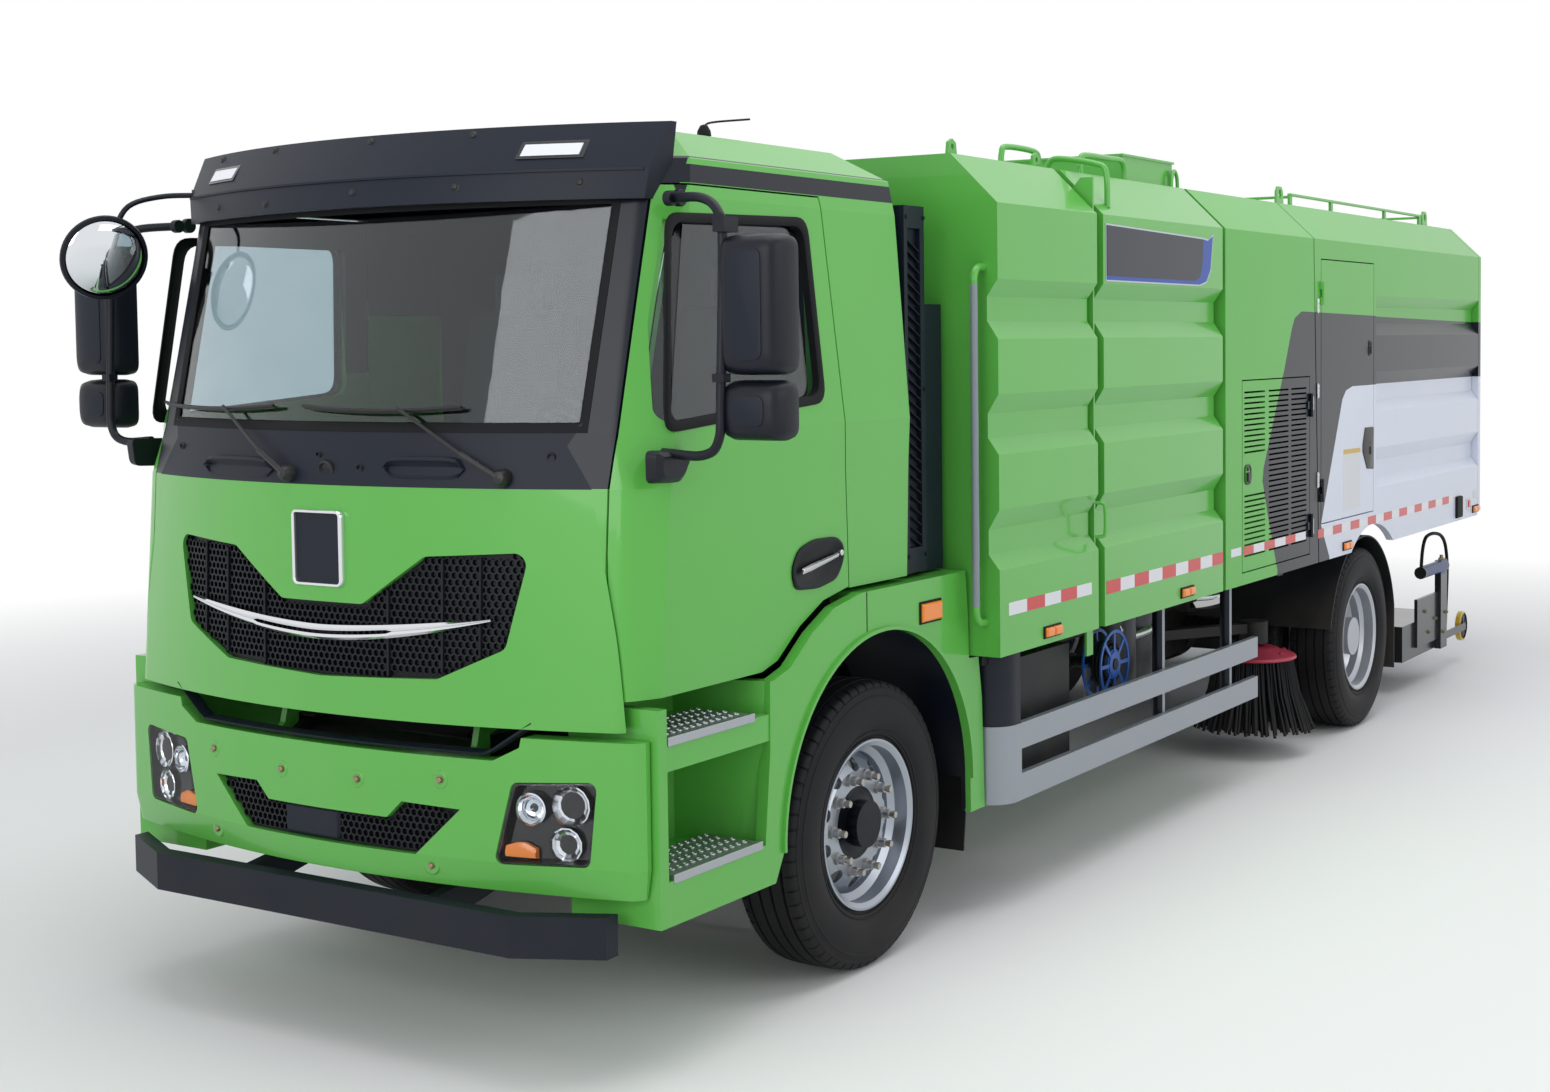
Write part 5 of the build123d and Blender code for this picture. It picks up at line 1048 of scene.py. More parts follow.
shell_paint = zoned_paint("cab shell paint", zoned_group("cab trim places", (
    ((0.90, 1.60), (0.0, 0.992), (1.770, 2.735)), ((-0.262, 1.15), (0.85, 1.20), (2.684, 2.742)),
    ((-0.214, 1.20), (0.0, 1.045), (1.300, 2.768)))))
door_paint = zoned_paint("door paint", zoned_group("door inner side", (((-0.30, 1.02), (0.0, 1.062), (1.15, 2.75)),)))
fender_paint = zoned_paint("fender paint", zoned_group("wheel arch liner", (
    ((-0.80, -0.55), (0.0, 1.125), (0.30, 1.02)),), (0.015, 0.570, 0.640, 1.128)))
dress("cab_shell", shell_paint, 0.006, 25)
dress("cab_door_left", door_paint, 0.006, 25)
dress("cab_door_right", door_paint, 0.006, 25)
dress("fenders", fender_paint, 0.006, 25)

# Doors: a pull handle in a dark dish, a rubber gasket round the window and seams in the fender below.
# The handle's lever is satin metal with a lock barrel beside it.
WALL_LEVELS = ((1.055, 1.105), (1.768, 1.122), (1.925, 1.130), (2.640, 1.075), (2.760, 1.050), (2.860, 0.900))


def on_wall(x, z, out, hand):
    """A place on the cab's side, told by x and height, standing out by some metres."""
    for (z0, y0), (z1, y1) in zip(WALL_LEVELS, WALL_LEVELS[1:]):
        if z <= z1:
            break
    return at(x, hand * (y0 + (y1 - y0) * (z - z0) / (z1 - z0) + out), z)


def corner_outline(corners, radius, steps=5):
    """A closed outline whose corners are rounded by a radius of their own."""
    out = []
    pts = [Vector((x, z, 0)) for x, z in corners]
    for i, p in enumerate(pts):
        before, after = pts[i - 1], pts[(i + 1) % len(pts)]
        r = radius[i] if isinstance(radius, (list, tuple)) else radius
        a = p + (before - p).normalized() * min(r, (before - p).length * 0.48)
        b = p + (after - p).normalized() * min(r, (after - p).length * 0.48)
        for n in range(steps + 1):
            t = n / steps
            q = (1 - t) ** 2 * a + 2 * t * (1 - t) * p + t * t * b
            out.append((q.x, q.y))
    return out


def ring_on_wall(maker, outline, levels, hand, lid):
    """Loops about an outline on the cab's side, each grown by some metres and standing out by some."""
    cx = sum(x for x, _ in outline) / len(outline)
    cz = sum(z for _, z in outline) / len(outline)
    wide = max(abs(x - cx) for x, _ in outline)
    tall = max(abs(z - cz) for _, z in outline)
    loops = []
    for grow, out in levels:
        loops.append([maker.verts.new(on_wall(cx + (x - cx) * (1 + grow / wide), cz + (z - cz) * (1 + grow / tall),
                                              out, hand)) for x, z in outline])
    bridge(maker, loops)
    if lid:
        maker.faces.new(loops[-1])


HANDLE_OUTLINE = corner_outline([(0.532, 1.458), (0.490, 1.522), (0.399, 1.546), (0.262, 1.544), (0.212, 1.512),
                                 (0.215, 1.459), (0.255, 1.400), (0.372, 1.380), (0.510, 1.388)], 0.03, 3)
WINDOW_OUTLINE = corner_outline([(1.192, 1.950), (1.108, 2.570), (0.372, 2.588), (0.342, 2.012)], 0.06)
satin_metal = surface("satin metal", linear(196, 198, 200), 0.25, metallic=0.9, dust=0.05, relief=0.05)
for hand, side_name in SIDES:
    door = f"cab_door_{side_name}"
    dish = bmesh.new()
    ring_on_wall(dish, HANDLE_OUTLINE, ((0, -0.004), (0, 0.006), (-0.006, 0.010), (-0.014, 0.009), (-0.022, 0.0015)),
                 hand, True)
    new_piece(f"door_handle_dish_{side_name}", dish, grille_plastic, door, 50)
    lever = bmesh.new()
    rows = []
    for x, z, half in ((0.478, 1.447, 0.010), (0.430, 1.455, 0.012), (0.350, 1.468, 0.010), (0.262, 1.483, 0.008)):
        rows.append([on_wall(x, z - half, 0.006, hand), on_wall(x, z - half, 0.015, hand),
                     on_wall(x, z + half * 0.4, 0.020, hand), on_wall(x, z + half, 0.008, hand)])
    grid_strip(lever, rows)
    bar(lever, on_wall(0.236, 1.487, 0.0, hand), on_wall(0.236, 1.487, 0.014, hand), 0.011, 18)
    soften(new_piece(f"door_handle_lever_{side_name}", lever, satin_metal, door), 0.003)
    seal = bmesh.new()
    ring_on_wall(seal, WINDOW_OUTLINE, ((0.020, -0.003), (0.020, 0.003), (0.013, 0.006), (-0.004, 0.006),
                                        (-0.012, 0.002), (-0.012, -0.026)), hand, False)
    new_piece(f"door_window_seal_{side_name}", seal, rubber_black, door, 50)

# Steps: pierced aluminium treads with a bright nosing, set into the fenders' two shelves.
# Each raised ring keeps a dark disc on the solid tread, painted shade for the hole through it.
tread_metal = surface("tread aluminium", linear(168, 172, 178), 0.35, metallic=0.85, dust=0.2, grain=500, relief=0.3)
# Painted shade: the tread holes are flat dark discs, standing for the shade seen through each hole.
hole_shade = surface("tread hole shade", linear(22, 24, 26), 0.8, dust=0.3, relief=0.1)
SEAM_X = 0.118
for hand, side_name in SIDES:
    tread = bmesh.new()
    rings = bmesh.new()
    holes = bmesh.new()
    for x0, x1, top in ((0.798, 1.246, 1.0305), (0.763, 1.227, 0.6175)):
        block(tread, at(x0, hand * 0.918, top - 0.010), at(x1, hand * 1.146, top + 0.003))
        block(tread, at(x0, hand * 1.140, top - 0.022), at(x1, hand * 1.154, top + 0.006))
        columns = 13
        for i in range(columns):
            for j in range(4):
                centre = at(x0 + (x1 - x0) * (i + 0.6 + 0.3 * (j % 2)) / (columns + 0.5),
                            hand * (0.945 + 0.052 * j), top)
                turn(rings, [(0.0115, 0.001), (0.0100, 0.0062), (0.0078, 0.0062), (0.0065, 0.0035)], centre, (0, 0, 1),
                     10, False)
                disc = [holes.verts.new(centre + Vector((0.0068 * math.cos(a), 0.0068 * math.sin(a), 0.0038)))
                        for a in [2 * math.pi * n / 8 for n in range(8)]]
                holes.faces.new(disc)
    soften(new_piece(f"step_treads_{side_name}", tread, tread_metal, "chassis"), 0.003)
    new_piece(f"step_rings_{side_name}", rings, tread_metal, "chassis", outward=False)
    new_piece(f"step_hole_shade_{side_name}", holes, hole_shade, "chassis", outward=False)
    lens = bmesh.new()
    x0, x1 = -0.387, -0.247
    loops = []
    for out, pull in ((1.145, 0), (1.160, 0), (1.166, 0.006)):
        loops.append([at(x0 + pull, hand * out, 1.190 + pull), at(x1 - pull, hand * out, 1.190 + pull),
                      at(x1 - pull, hand * out, 1.256 - pull), at(x0 + pull, hand * out, 1.256 - pull)])
    grid_strip(lens, loops)
    soften(new_piece(f"fender_lens_{side_name}", lens, amber, "chassis"), 0.003)
    bezel = bmesh.new()
    block(bezel, at(-0.396, hand * 1.140, 1.182), at(-0.238, hand * 1.155, 1.264))
    soften(new_piece(f"fender_bezel_{side_name}", bezel, rubber_black, "chassis", outward=False), 0.004)
    seam = bmesh.new()
    block(seam, at(SEAM_X - 0.002, hand * 1.100, 1.205), at(SEAM_X + 0.002, hand * 1.1512, 1.340))
    new_piece(f"fender_seam_{side_name}", seam, rubber_black, "chassis", outward=False)
    flap = bmesh.new()
    rows = []
    for n in range(9):
        z = 0.60 - n * 0.041
        x = -0.640 - 0.012 * math.sin(n * 0.5)
        rows.append([at(x, hand * y, z) for y in (0.70, 1.105)] + [at(x - 0.008, hand * y, z) for y in (1.105, 0.70)])
    grid_strip(flap, rows)
    soften(new_piece(f"front_mud_flap_{side_name}", flap, rubber_black, "chassis"), 0.002)

# Door mirrors: two moulded housings on a bent tube, with a foot on the door and a head under the roof edge.
# Each housing has a raised cover line in front and its glass behind.
mirror_black = surface("mirror plastic", linear(15, 20, 30), 0.4, dust=0.03, dust_top=2.8, grain=420, relief=0.25,
                       specular=0.25)
mirror_face = surface("mirror face", linear(222, 226, 230), 0.03, metallic=1.0, dust=0.02, relief=0.0)
MIRROR_PATH = ((1.215, 1.125, 1.875), (1.215, 1.270, 1.870), (1.218, 1.330, 1.915), (1.215, 1.338, 2.050),
               (1.196, 1.338, 2.480), (1.188, 1.318, 2.575), (1.160, 1.240, 2.620), (1.090, 1.085, 2.630))
HOUSINGS = ((1.094, 1.224, 2.102, 2.508), (1.100, 1.218, 1.912, 2.088))
for hand, side_name in SIDES:
    door = f"cab_door_{side_name}"
    arm = bmesh.new()
    tube(arm, smooth_path([at(x, hand * y, z) for x, y, z in MIRROR_PATH], 6), 0.0145, 14)
    block(arm, at(1.150, hand * 1.322, 2.515), at(1.222, hand * 1.362, 2.560))
    block(arm, at(1.196, hand * 1.320, 2.083), at(1.232, hand * 1.360, 2.108))
    arm_piece = new_piece(f"mirror_arm_{side_name}", arm, mirror_black, door, outward=False)
    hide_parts(f"door_mirror_{side_name}")
    for index, (x0, x1, z0, z1) in enumerate(HOUSINGS):
        shell = bmesh.new()
        rows = []
        for x, pull in ((x0, 0.012), (x0 + 0.004, 0.004), (x0 + 0.03, 0.0), (x1 - 0.05, 0.002), (x1 - 0.018, 0.010),
                        (x1 - 0.004, 0.026), (x1, 0.046)):
            outline = corner_outline([(1.322 + pull, z0 + pull), (1.538 - pull, z0 + pull),
                                      (1.538 - pull, z1 - pull), (1.322 + pull, z1 - pull)], 0.042, 5)
            rows.append([at(x, hand * y, z) for y, z in outline])
        grid_strip(shell, rows)
        new_piece(f"mirror_housing_{index}_{side_name}", shell, mirror_black, door, 50)
        cover = bmesh.new()
        rows = []
        for x, pull in ((x1 - 0.014, 0.026), (x1 + 0.0025, 0.028), (x1 + 0.004, 0.032)):
            outline = corner_outline([(1.345 + pull, z0 + 0.015 + pull), (1.515 - pull, z0 + 0.015 + pull),
                                      (1.515 - pull, z1 - 0.015 - pull), (1.345 + pull, z1 - 0.015 - pull)], 0.03, 4)
            rows.append([at(x, hand * y, z) for y, z in outline])
        grid_strip(cover, rows)
        new_piece(f"mirror_cover_{index}_{side_name}", cover, dark_plastic, door, 50)
        glass = bmesh.new()
        outline = corner_outline([(1.334, z0 + 0.014), (1.526, z0 + 0.014), (1.526, z1 - 0.014), (1.334, z1 - 0.014)],
                                 0.034, 5)
        grid_strip(glass, [[at(x, hand * y, z) for y, z in outline] for x in (x0 + 0.002, x0 - 0.0015)])
        new_piece(f"mirror_glass_{index}_{side_name}", glass, mirror_face, door, 40)
    foot = bmesh.new()
    rows = []
    for out, pull in ((-0.004, 0.0), (0.030, 0.004), (0.048, 0.018)):
        outline = corner_outline([(1.292 - pull, 1.788 + pull), (1.158 + pull, 1.782 + pull),
                                  (1.118 + pull, 1.880 - pull), (1.300 - pull, 1.886 - pull)], 0.022, 4)
        rows.append([on_wall(x, z, out, hand) for x, z in outline])
    grid_strip(foot, rows)
    bar(foot, on_wall(1.062, 2.632, -0.002, hand), on_wall(1.062, 2.632, 0.022, hand), 0.026, 20)
    bar(foot, on_wall(1.110, 2.628, -0.002, hand), on_wall(1.110, 2.628, 0.024, hand), 0.023, 20)
    soften(new_piece(f"mirror_foot_{side_name}", foot, mirror_black, door), 0.003)

# Round front mirror: a bulging glass in a black rim, on a bent arm from the visor's right end.
# The glass looks down and across to the driver.
ROUND_AT = at(1.370, -1.150, 2.512)
ROUND_DIR = Vector((0.35, 0.9, -0.28)).normalized()
glass = bmesh.new()
turn(glass, [(0.0, 0.030), (0.035, 0.0285), (0.070, 0.0240), (0.105, 0.0160), (0.132, 0.0060), (0.136, 0.0)], ROUND_AT,
     ROUND_DIR, 56, False)
bmesh.ops.remove_doubles(glass, verts=glass.verts, dist=0.0001)
new_piece("round_mirror_glass", glass, mirror_face, "cab", 60)
rim = bmesh.new()
turn(rim, [(0.134, 0.010), (0.146, 0.008), (0.149, 0.0), (0.146, -0.010), (0.120, -0.022), (0.070, -0.034),
           (0.030, -0.040), (0.0, -0.041)], ROUND_AT, ROUND_DIR, 56, False)
bmesh.ops.remove_doubles(rim, verts=rim.verts, dist=0.0001)
tube(rim, smooth_path([ROUND_AT - ROUND_DIR * 0.036, at(1.330, -1.150, 2.60), at(1.290, -1.118, 2.690),
                       at(1.180, -1.085, 2.728), at(1.085, -1.000, 2.735)], 6), 0.0095, 12)
bar(rim, at(1.100, -1.016, 2.734), at(1.060, -0.985, 2.737), 0.020, 16)
rim_piece = new_piece("round_mirror_rim", rim, mirror_black, "cab", 40)
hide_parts("round_mirror")

# Louvre columns behind the cab: slanted blades in an upright dark frame, with small cover screws.
# Black moulded plastic over the battery block.
dress("battery_rack", dark_plastic, 0.003)
LOUVRE_LOW, LOUVRE_TOP, LOUVRE_PITCH = 1.462, 2.60, 0.038
for hand, side_name in SIDES:
    blades = bmesh.new()
    for n in range(30):
        z = LOUVRE_LOW + n * LOUVRE_PITCH
        if z + 0.05 >= LOUVRE_TOP:
            break
        rows = []
        for x, lift in ((-0.373, 0.0), (-0.287, 0.042)):
            rows.append([at(x, hand * 1.069, z + lift), at(x, hand * 1.086, z + lift - 0.012),
                         at(x, hand * 1.089, z + lift - 0.008), at(x, hand * 1.072, z + lift + 0.006)])
        grid_strip(blades, rows)
    for x, z in ((-0.40, 2.64), (-0.28, 2.64), (-0.40, 2.02), (-0.40, 1.42), (-0.28, 1.42)):
        bar(blades, at(x, hand * 1.086, z), at(x, hand * 1.092, z), 0.008, 10)
    new_piece(f"louvre_blades_{side_name}", blades, grille_plastic, "chassis", 30)


# Inside the cab and behind the vent doors: grey trim, dark cloth seats, a dark wheel and the grey fan.
# The fairings at the ends of the side guards are moulded in the cab's dark plastic.
interior_grey = surface("interior grey", linear(120, 122, 122), 0.6, dust=0.0, relief=0.3)
seat_fabric = surface("seat fabric", linear(60, 62, 66), 0.85, dust=0.0, grain=700, relief=0.5)
motor_grey = surface("motor grey", linear(60, 62, 65), 0.5, dust=0.2)
dress("steering_wheel", dark_plastic)
dress("dashboard", interior_grey)
dress("seats", seat_fabric)
dress("guard_fairings", dark_plastic, 0.002)
dress("suction_fan", motor_grey)


# Side brushes: a pressed red dome over a skirt of black bristles, flared and uneven from use.
# Moulded tufts stand in three rings, and six bolts hold the disc.
brush_red = surface("brush red", linear(178, 44, 72), 0.42, dust=0.2, dust_top=0.9)
bristle_black = surface("brush bristles", linear(18, 20, 24), 0.6, dust=0.12, dust_top=0.4, grain=600, relief=0.4,
                         specular=0.2)
BRUSH_X, BRUSH_Y = -4.140, 0.935
TUFT_LOW, TUFT_TOP = 0.128, 0.514
for hand, side_name in SIDES:
    dome = bmesh.new()
    turn(dome, [(0.026, 0.566), (0.062, 0.568), (0.104, 0.566), (0.130, 0.556), (0.143, 0.545), (0.198, 0.534),
                (0.219, 0.523), (0.224, 0.511), (0.216, 0.505), (0.120, 0.518), (0.026, 0.520)],
         at(BRUSH_X, hand * BRUSH_Y, 0), (0, 0, 1), 64, True)
    for n in range(6):
        a = math.radians(60 * n + 15)
        spot = at(BRUSH_X + 0.172 * math.cos(a), hand * BRUSH_Y + 0.172 * math.sin(a), 0.536)
        bar(dome, spot, spot + Vector((0, 0, 0.010)), 0.010, 6)
    dome_piece = new_piece(f"brush_dome_{side_name}", dome, brush_red, f"side_brush_{side_name}", 30)
    chance = random.Random(7)
    tufts = bmesh.new()
    for ring, (start, flare, count) in enumerate(((0.128, 0.075, 64), (0.165, 0.090, 84), (0.200, 0.100, 104))):
        for n in range(count):
            a = 2 * math.pi * (n + chance.uniform(-0.35, 0.35)) / count
            spread = flare * chance.uniform(0.75, 1.12)
            twist = chance.uniform(-0.05, 0.05)
            low = TUFT_LOW + chance.uniform(0, 0.035)
            path = []
            for t in (0.0, 0.5, 1.0):
                r = start + spread * (0.35 * t + 0.65 * t * t)
                b = a + twist * t
                path.append(at(BRUSH_X + r * math.cos(b), hand * BRUSH_Y + r * math.sin(b),
                               TUFT_TOP + (low - TUFT_TOP) * t))
            tube(tufts, path, 0.006, 5, (0.0045, 0.0065, 0.0085))
    bristles = new_piece(f"brush_bristles_{side_name}", tufts, bristle_black, f"side_brush_{side_name}", 60,
                         outward=False)
    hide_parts(f"side_brush_{side_name}")

# Hose reel: two blue spoked flanges with a drum of black hose between them, on the frame's stub axle.
# Pressed steel, with eight spokes a side.
reel_blue = surface("reel blue", linear(20, 85, 170), 0.35, dust=0.15)
REEL = at(-2.010, 1.060, 0.785)
reel = bmesh.new()
for along in (-0.0415, 0.0415):
    turn(reel, [(0.136, along - 0.0035), (0.150, along - 0.0035), (0.150, along + 0.0035), (0.136, along + 0.0035)],
         REEL, angles=56)
    turn(reel, [(0.0255, along - 0.004), (0.056, along - 0.004), (0.056, along + 0.004), (0.0255, along + 0.004)],
         REEL, angles=40)
    for n in range(8):
        turned = Matrix.Translation(REEL) @ Matrix.Rotation(math.radians(45 * n), 4, "Y")
        block(reel, (0.050, along - 0.0025, -0.008), (0.140, along + 0.0025, 0.008), turned)
turn(reel, [(0.0255, -0.040), (0.066, -0.040), (0.066, 0.040), (0.0255, 0.040)], REEL, angles=40)
reel_piece = new_piece("reel_wheel", reel, reel_blue, "hose_reel", 35)
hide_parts("hose_reel")
wound = bmesh.new()
for radius, count in ((0.077, 4), (0.095, 3)):
    for n in range(count):
        middle = (n - (count - 1) / 2) * 0.0185
        turn(wound, [(radius + 0.009 * math.cos(a), middle + 0.009 * math.sin(a))
                     for a in [2 * math.pi * k / 10 for k in range(10)]], REEL, angles=48)
new_piece("reel_hose_layers", wound, rubber_black, "hose_reel", 60, outward=False)

# Roof and side fittings: grab loops, lifting loops, a low rail on the hopper and an aerial on the cab.
# Bent green tube and flat bar, and the grab rail in front is a grey sleeve with green ends.
rail_paint = zoned_paint("fittings paint", zoned_group("grab rail sleeve", (
    ((-0.60, -0.50), (1.190, 1.240), (1.215, 2.400)),)), trim=linear(132, 140, 148))
dress("body_fittings", rail_paint, 0.003, 25)
loops = bmesh.new()
ROOF_LOOPS = (
    ((-1.215, 0.98, 2.885), (-1.222, 0.98, 2.940), (-1.262, 0.98, 2.968), (-1.500, 0.98, 2.968), (-1.548, 0.98, 2.940),
     (-1.556, 0.98, 2.885)),
    ((-1.670, 0.960, 2.885), (-1.670, 0.965, 2.925), (-1.670, 1.010, 2.948), (-1.670, 1.180, 2.918),
     (-1.670, 1.228, 2.880), (-1.670, 1.235, 2.735)),
    ((-1.785, 1.055, 2.885), (-1.792, 1.055, 2.945), (-1.835, 1.055, 2.972), (-2.080, 1.055, 2.975),
     (-2.200, 1.055, 2.975), (-2.235, 1.055, 2.945), (-2.242, 1.055, 2.885)),
)
for path in ROOF_LOOPS:
    tube(loops, smooth_path([at(*p) for p in path], 5), 0.0125, 12)
tube(loops, smooth_path([at(x, 1.050, z) for x, z in ((-2.775, 2.885), (-2.782, 2.940), (-2.812, 2.970),
                                                      (-2.842, 2.940), (-2.849, 2.885))], 5), 0.009, 10)
tube(loops, smooth_path([at(x, y, z) for x, y, z in ((-1.460, 1.270, 1.395), (-1.466, 1.305, 1.400),
                                                     (-1.466, 1.312, 1.425), (-1.466, 1.312, 1.505),
                                                     (-1.466, 1.305, 1.530), (-1.460, 1.270, 1.535))], 5), 0.007, 10)
new_piece("roof_loops", loops, body_green, "chassis", 40)
rack = bmesh.new()
for hand in (1, -1):
    y = hand * 1.020
    block(rack, at(-6.860, y - 0.012, 2.948), at(-4.450, y + 0.012, 2.962))
    for x in (-4.460, -5.130, -6.120, -6.850):
        block(rack, at(x - 0.018, y - 0.008, 2.886), at(x + 0.018, y + 0.008, 2.955))
    for x in (-4.290, -6.960):
        profile = [(-0.055, 2.886), (0.055, 2.886), (0.048, 2.965), (0.028, 2.988), (-0.028, 2.988), (-0.048, 2.965)]
        hole = [(0.022 * math.cos(a), 2.948 + 0.026 * math.sin(a)) for a in
                [math.radians(v) for v in (250, 290, 340, 60, 120, 200)]]
        for out in (-0.007, 0.007):
            outer = [rack.verts.new(at(x + a, y + out, z)) for a, z in profile]
            inner = [rack.verts.new(at(x + a, y + out, z)) for a, z in hole]
            bridge(rack, [outer, inner])
            if out < 0:
                kept = (outer, inner)
        for near, far in zip(kept, (outer, inner)):
            bridge(rack, [near, far])
for x in (-4.460, -6.850):
    block(rack, at(x - 0.012, -1.020, 2.936), at(x + 0.012, 1.020, 2.950))
soften(new_piece("roof_rail", rack, body_green, "hopper", 35), 0.003, 2)
aerial = bmesh.new()
turn(aerial, [(0.0, 2.854), (0.024, 2.856), (0.022, 2.872), (0.012, 2.890), (0.0, 2.894)], at(0.600, 0.845, 0.012),
     (0, 0, 1), 20, False)
bmesh.ops.remove_doubles(aerial, verts=aerial.verts, dist=0.0001)
tube(aerial, smooth_path([at(0.600, 0.845, 2.895), at(0.560, 0.845, 2.915), at(0.340, 0.845, 2.945)], 5), 0.0035, 8)
new_piece("cab_aerial", aerial, rubber_black, "cab", 40)

# Hinges of the vent doors and the side door: satin steel knuckles on a pin, three knuckles each.
# They stand on the body's side where the doors turn.
for hand, side_name in SIDES:
    for name, body, x, spans in (("vent", f"vent_door_{side_name}", -4.074, ((1.180, 1.260), (1.820, 1.890))),
                                 ("side", "side_door", -4.160, ((1.415, 1.490), (1.880, 1.950), (2.320, 2.390)))):
        if name == "side" and hand < 0:
            continue
        pin_y = hand * (SIDE + 0.003)
        knuckles = bmesh.new()
        for z0, z1 in spans:
            third = (z1 - z0) / 3
            for n in range(3):
                bar(knuckles, at(x, pin_y, z0 + n * third + 0.001), at(x, pin_y, z0 + (n + 1) * third - 0.001),
                    0.0085, 14)
            bar(knuckles, at(x, pin_y, z0 - 0.004), at(x, pin_y, z1 + 0.004), 0.0045, 10)
        new_piece(f"{name}_hinges_{side_name}", knuckles, satin_metal, body, 40)

# Low equipment: steel canisters, grey guard rails on dark posts, silver front rims with dark hubs, bright pipes.
# The underrun bar in front is bent plate in satin black.
canister_steel = surface("canister steel", linear(60, 63, 68), 0.4, metallic=0.6, dust=0.25, grain=120, relief=0.2)
underrun_black = surface("underrun black", linear(15, 22, 34), 0.5, dust=0.04, dust_top=0.8, relief=0.2, specular=0.25)
dress("filter_canisters", canister_steel, 0.002)
dress("underrun_bar", underrun_black, 0.004)
guard_metal = zoned_paint("guard rails", zoned_group("guard posts", (
    ((-3.60, -0.90), (0.0, 1.1965), (0.42, 1.10)),)), paint=linear(150, 156, 164), coat=0.0, metallic=0.35)
dress("side_guards", guard_metal, 0.002)
HUB_DARK_R = 0.128
rim_paint = zoned_paint("front rims", zoned_group("front hubs", (), (0.0, TYRE_R, HUB_DARK_R, 3.0)),
                        paint=linear(166, 172, 182), coat=0.0, metallic=0.75)
for _, name in SIDES:
    dress(f"rim_front_{name}", rim_paint, 0.0015)
pipes = bmesh.new()
for hand in (1, -1):
    tube(pipes, smooth_path([at(-2.330, hand * 0.960, 0.960), at(-2.350, hand * 0.985, 0.870),
                              at(-2.470, hand * 0.990, 0.842), at(-2.700, hand * 0.990, 0.862),
                              at(-2.790, hand * 0.960, 0.960)], 5), 0.020, 12)
    tube(pipes, smooth_path([at(-3.420, hand * 0.900, 0.900), at(-3.520, hand * 0.960, 0.905),
                              at(-3.600, hand * 0.960, 0.960), at(-3.620, hand * 0.940, 1.010)], 5), 0.016, 12)
new_piece("under_tank_pipes", pipes, satin_metal, "chassis", 40)

# Rear nozzle fittings: blue lift cylinders, clamp studs on the end plates and yellow tyred casters.
# A black hydraulic hose bends from each guide cylinder's top back and down to the caster arm.
nozzle_paint = zoned_paint("nozzle paint", zoned_group("lift cylinders", (
    ((-6.965, -6.475), (1.100, 1.200), (0.670, 0.770)),)), paint=linear(28, 31, 36), trim=linear(20, 52, 108))
dress("rear_nozzle", nozzle_paint, 0.004)
CASTER_X, CASTER_Y, CASTER_Z = -7.560, 1.108, 0.250
CASTER_HUB_R = 0.0855
caster_paint = zoned_paint("caster tyre", zoned_group("caster hub", (), (CASTER_X, CASTER_Z, CASTER_HUB_R, 2.0)),
                           paint=linear(206, 172, 44))
for hand, side_name in SIDES:
    dress(f"caster_{side_name}", caster_paint, 0.002)
    spokes = bmesh.new()
    for n in range(5):
        for side in (1, -1):
            hub = Matrix.Translation(at(CASTER_X, hand * CASTER_Y, CASTER_Z))
            turned = hub @ Matrix.Rotation(math.radians(72 * n), 4, "Y")
            block(spokes, (0.028, side * 0.011 - 0.003, -0.007), (0.083, side * 0.011 + 0.003, 0.007), turned)
    soften(new_piece(f"caster_spokes_{side_name}", spokes, rubber_black, f"caster_{side_name}"), 0.002)
    studs = bmesh.new()
    for x, z, long in ((-6.930, 0.770, 0.030), (-6.900, 0.300, 0.012), (-6.960, 0.420, 0.012), (-6.780, 0.400, 0.012),
                       (-6.640, 0.330, 0.012), (-6.560, 0.470, 0.012)):
        out = 1.170 if x < -6.85 else 1.150
        if z > 0.7:
            bar(studs, at(x, hand * 1.150, 0.750), at(x, hand * 1.150, 0.790), 0.012, 10)
            bar(studs, at(x, hand * 1.150, 0.760), at(x, hand * 1.150, 0.772), 0.020, 6)
        else:
            bar(studs, at(x, hand * (out - 0.002), z), at(x, hand * (out + 0.008), z), 0.012, 6)
            bar(studs, at(x, hand * out, z), at(x, hand * (out + long + 0.004), z), 0.006, 8)
    new_piece(f"nozzle_studs_{side_name}", studs, bolt_zinc, "rear_nozzle", 30)
    route = ((-6.480, 1.150, 0.752), (-6.500, 1.150, 0.920), (-6.700, 1.150, 0.955), (-6.985, 1.150, 0.910),
             (-7.080, 1.148, 0.740), (-7.085, 1.140, 0.500), (-7.075, 1.134, 0.274))
    curve = bpy.data.curves.new(f"nozzle_hose_{side_name}", "CURVE")
    curve.dimensions = "3D"
    spline = curve.splines.new("NURBS")
    spline.points.add(len(route) - 1)
    for point, (x, y, z) in zip(spline.points, route):
        point.co = (*at(x, hand * y, z), 1.0)
    spline.use_endpoint_u = True
    spline.order_u = 3
    spline.resolution_u = 12
    curve.bevel_depth = 0.011
    curve.bevel_resolution = 3
    curve.use_fill_caps = True
    curve.materials.append(rubber_black)
    hose = bpy.data.objects.new(f"nozzle_hose_{side_name}", curve)
    bpy.context.scene.collection.objects.link(hose)
    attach(hose, "rear_nozzle")


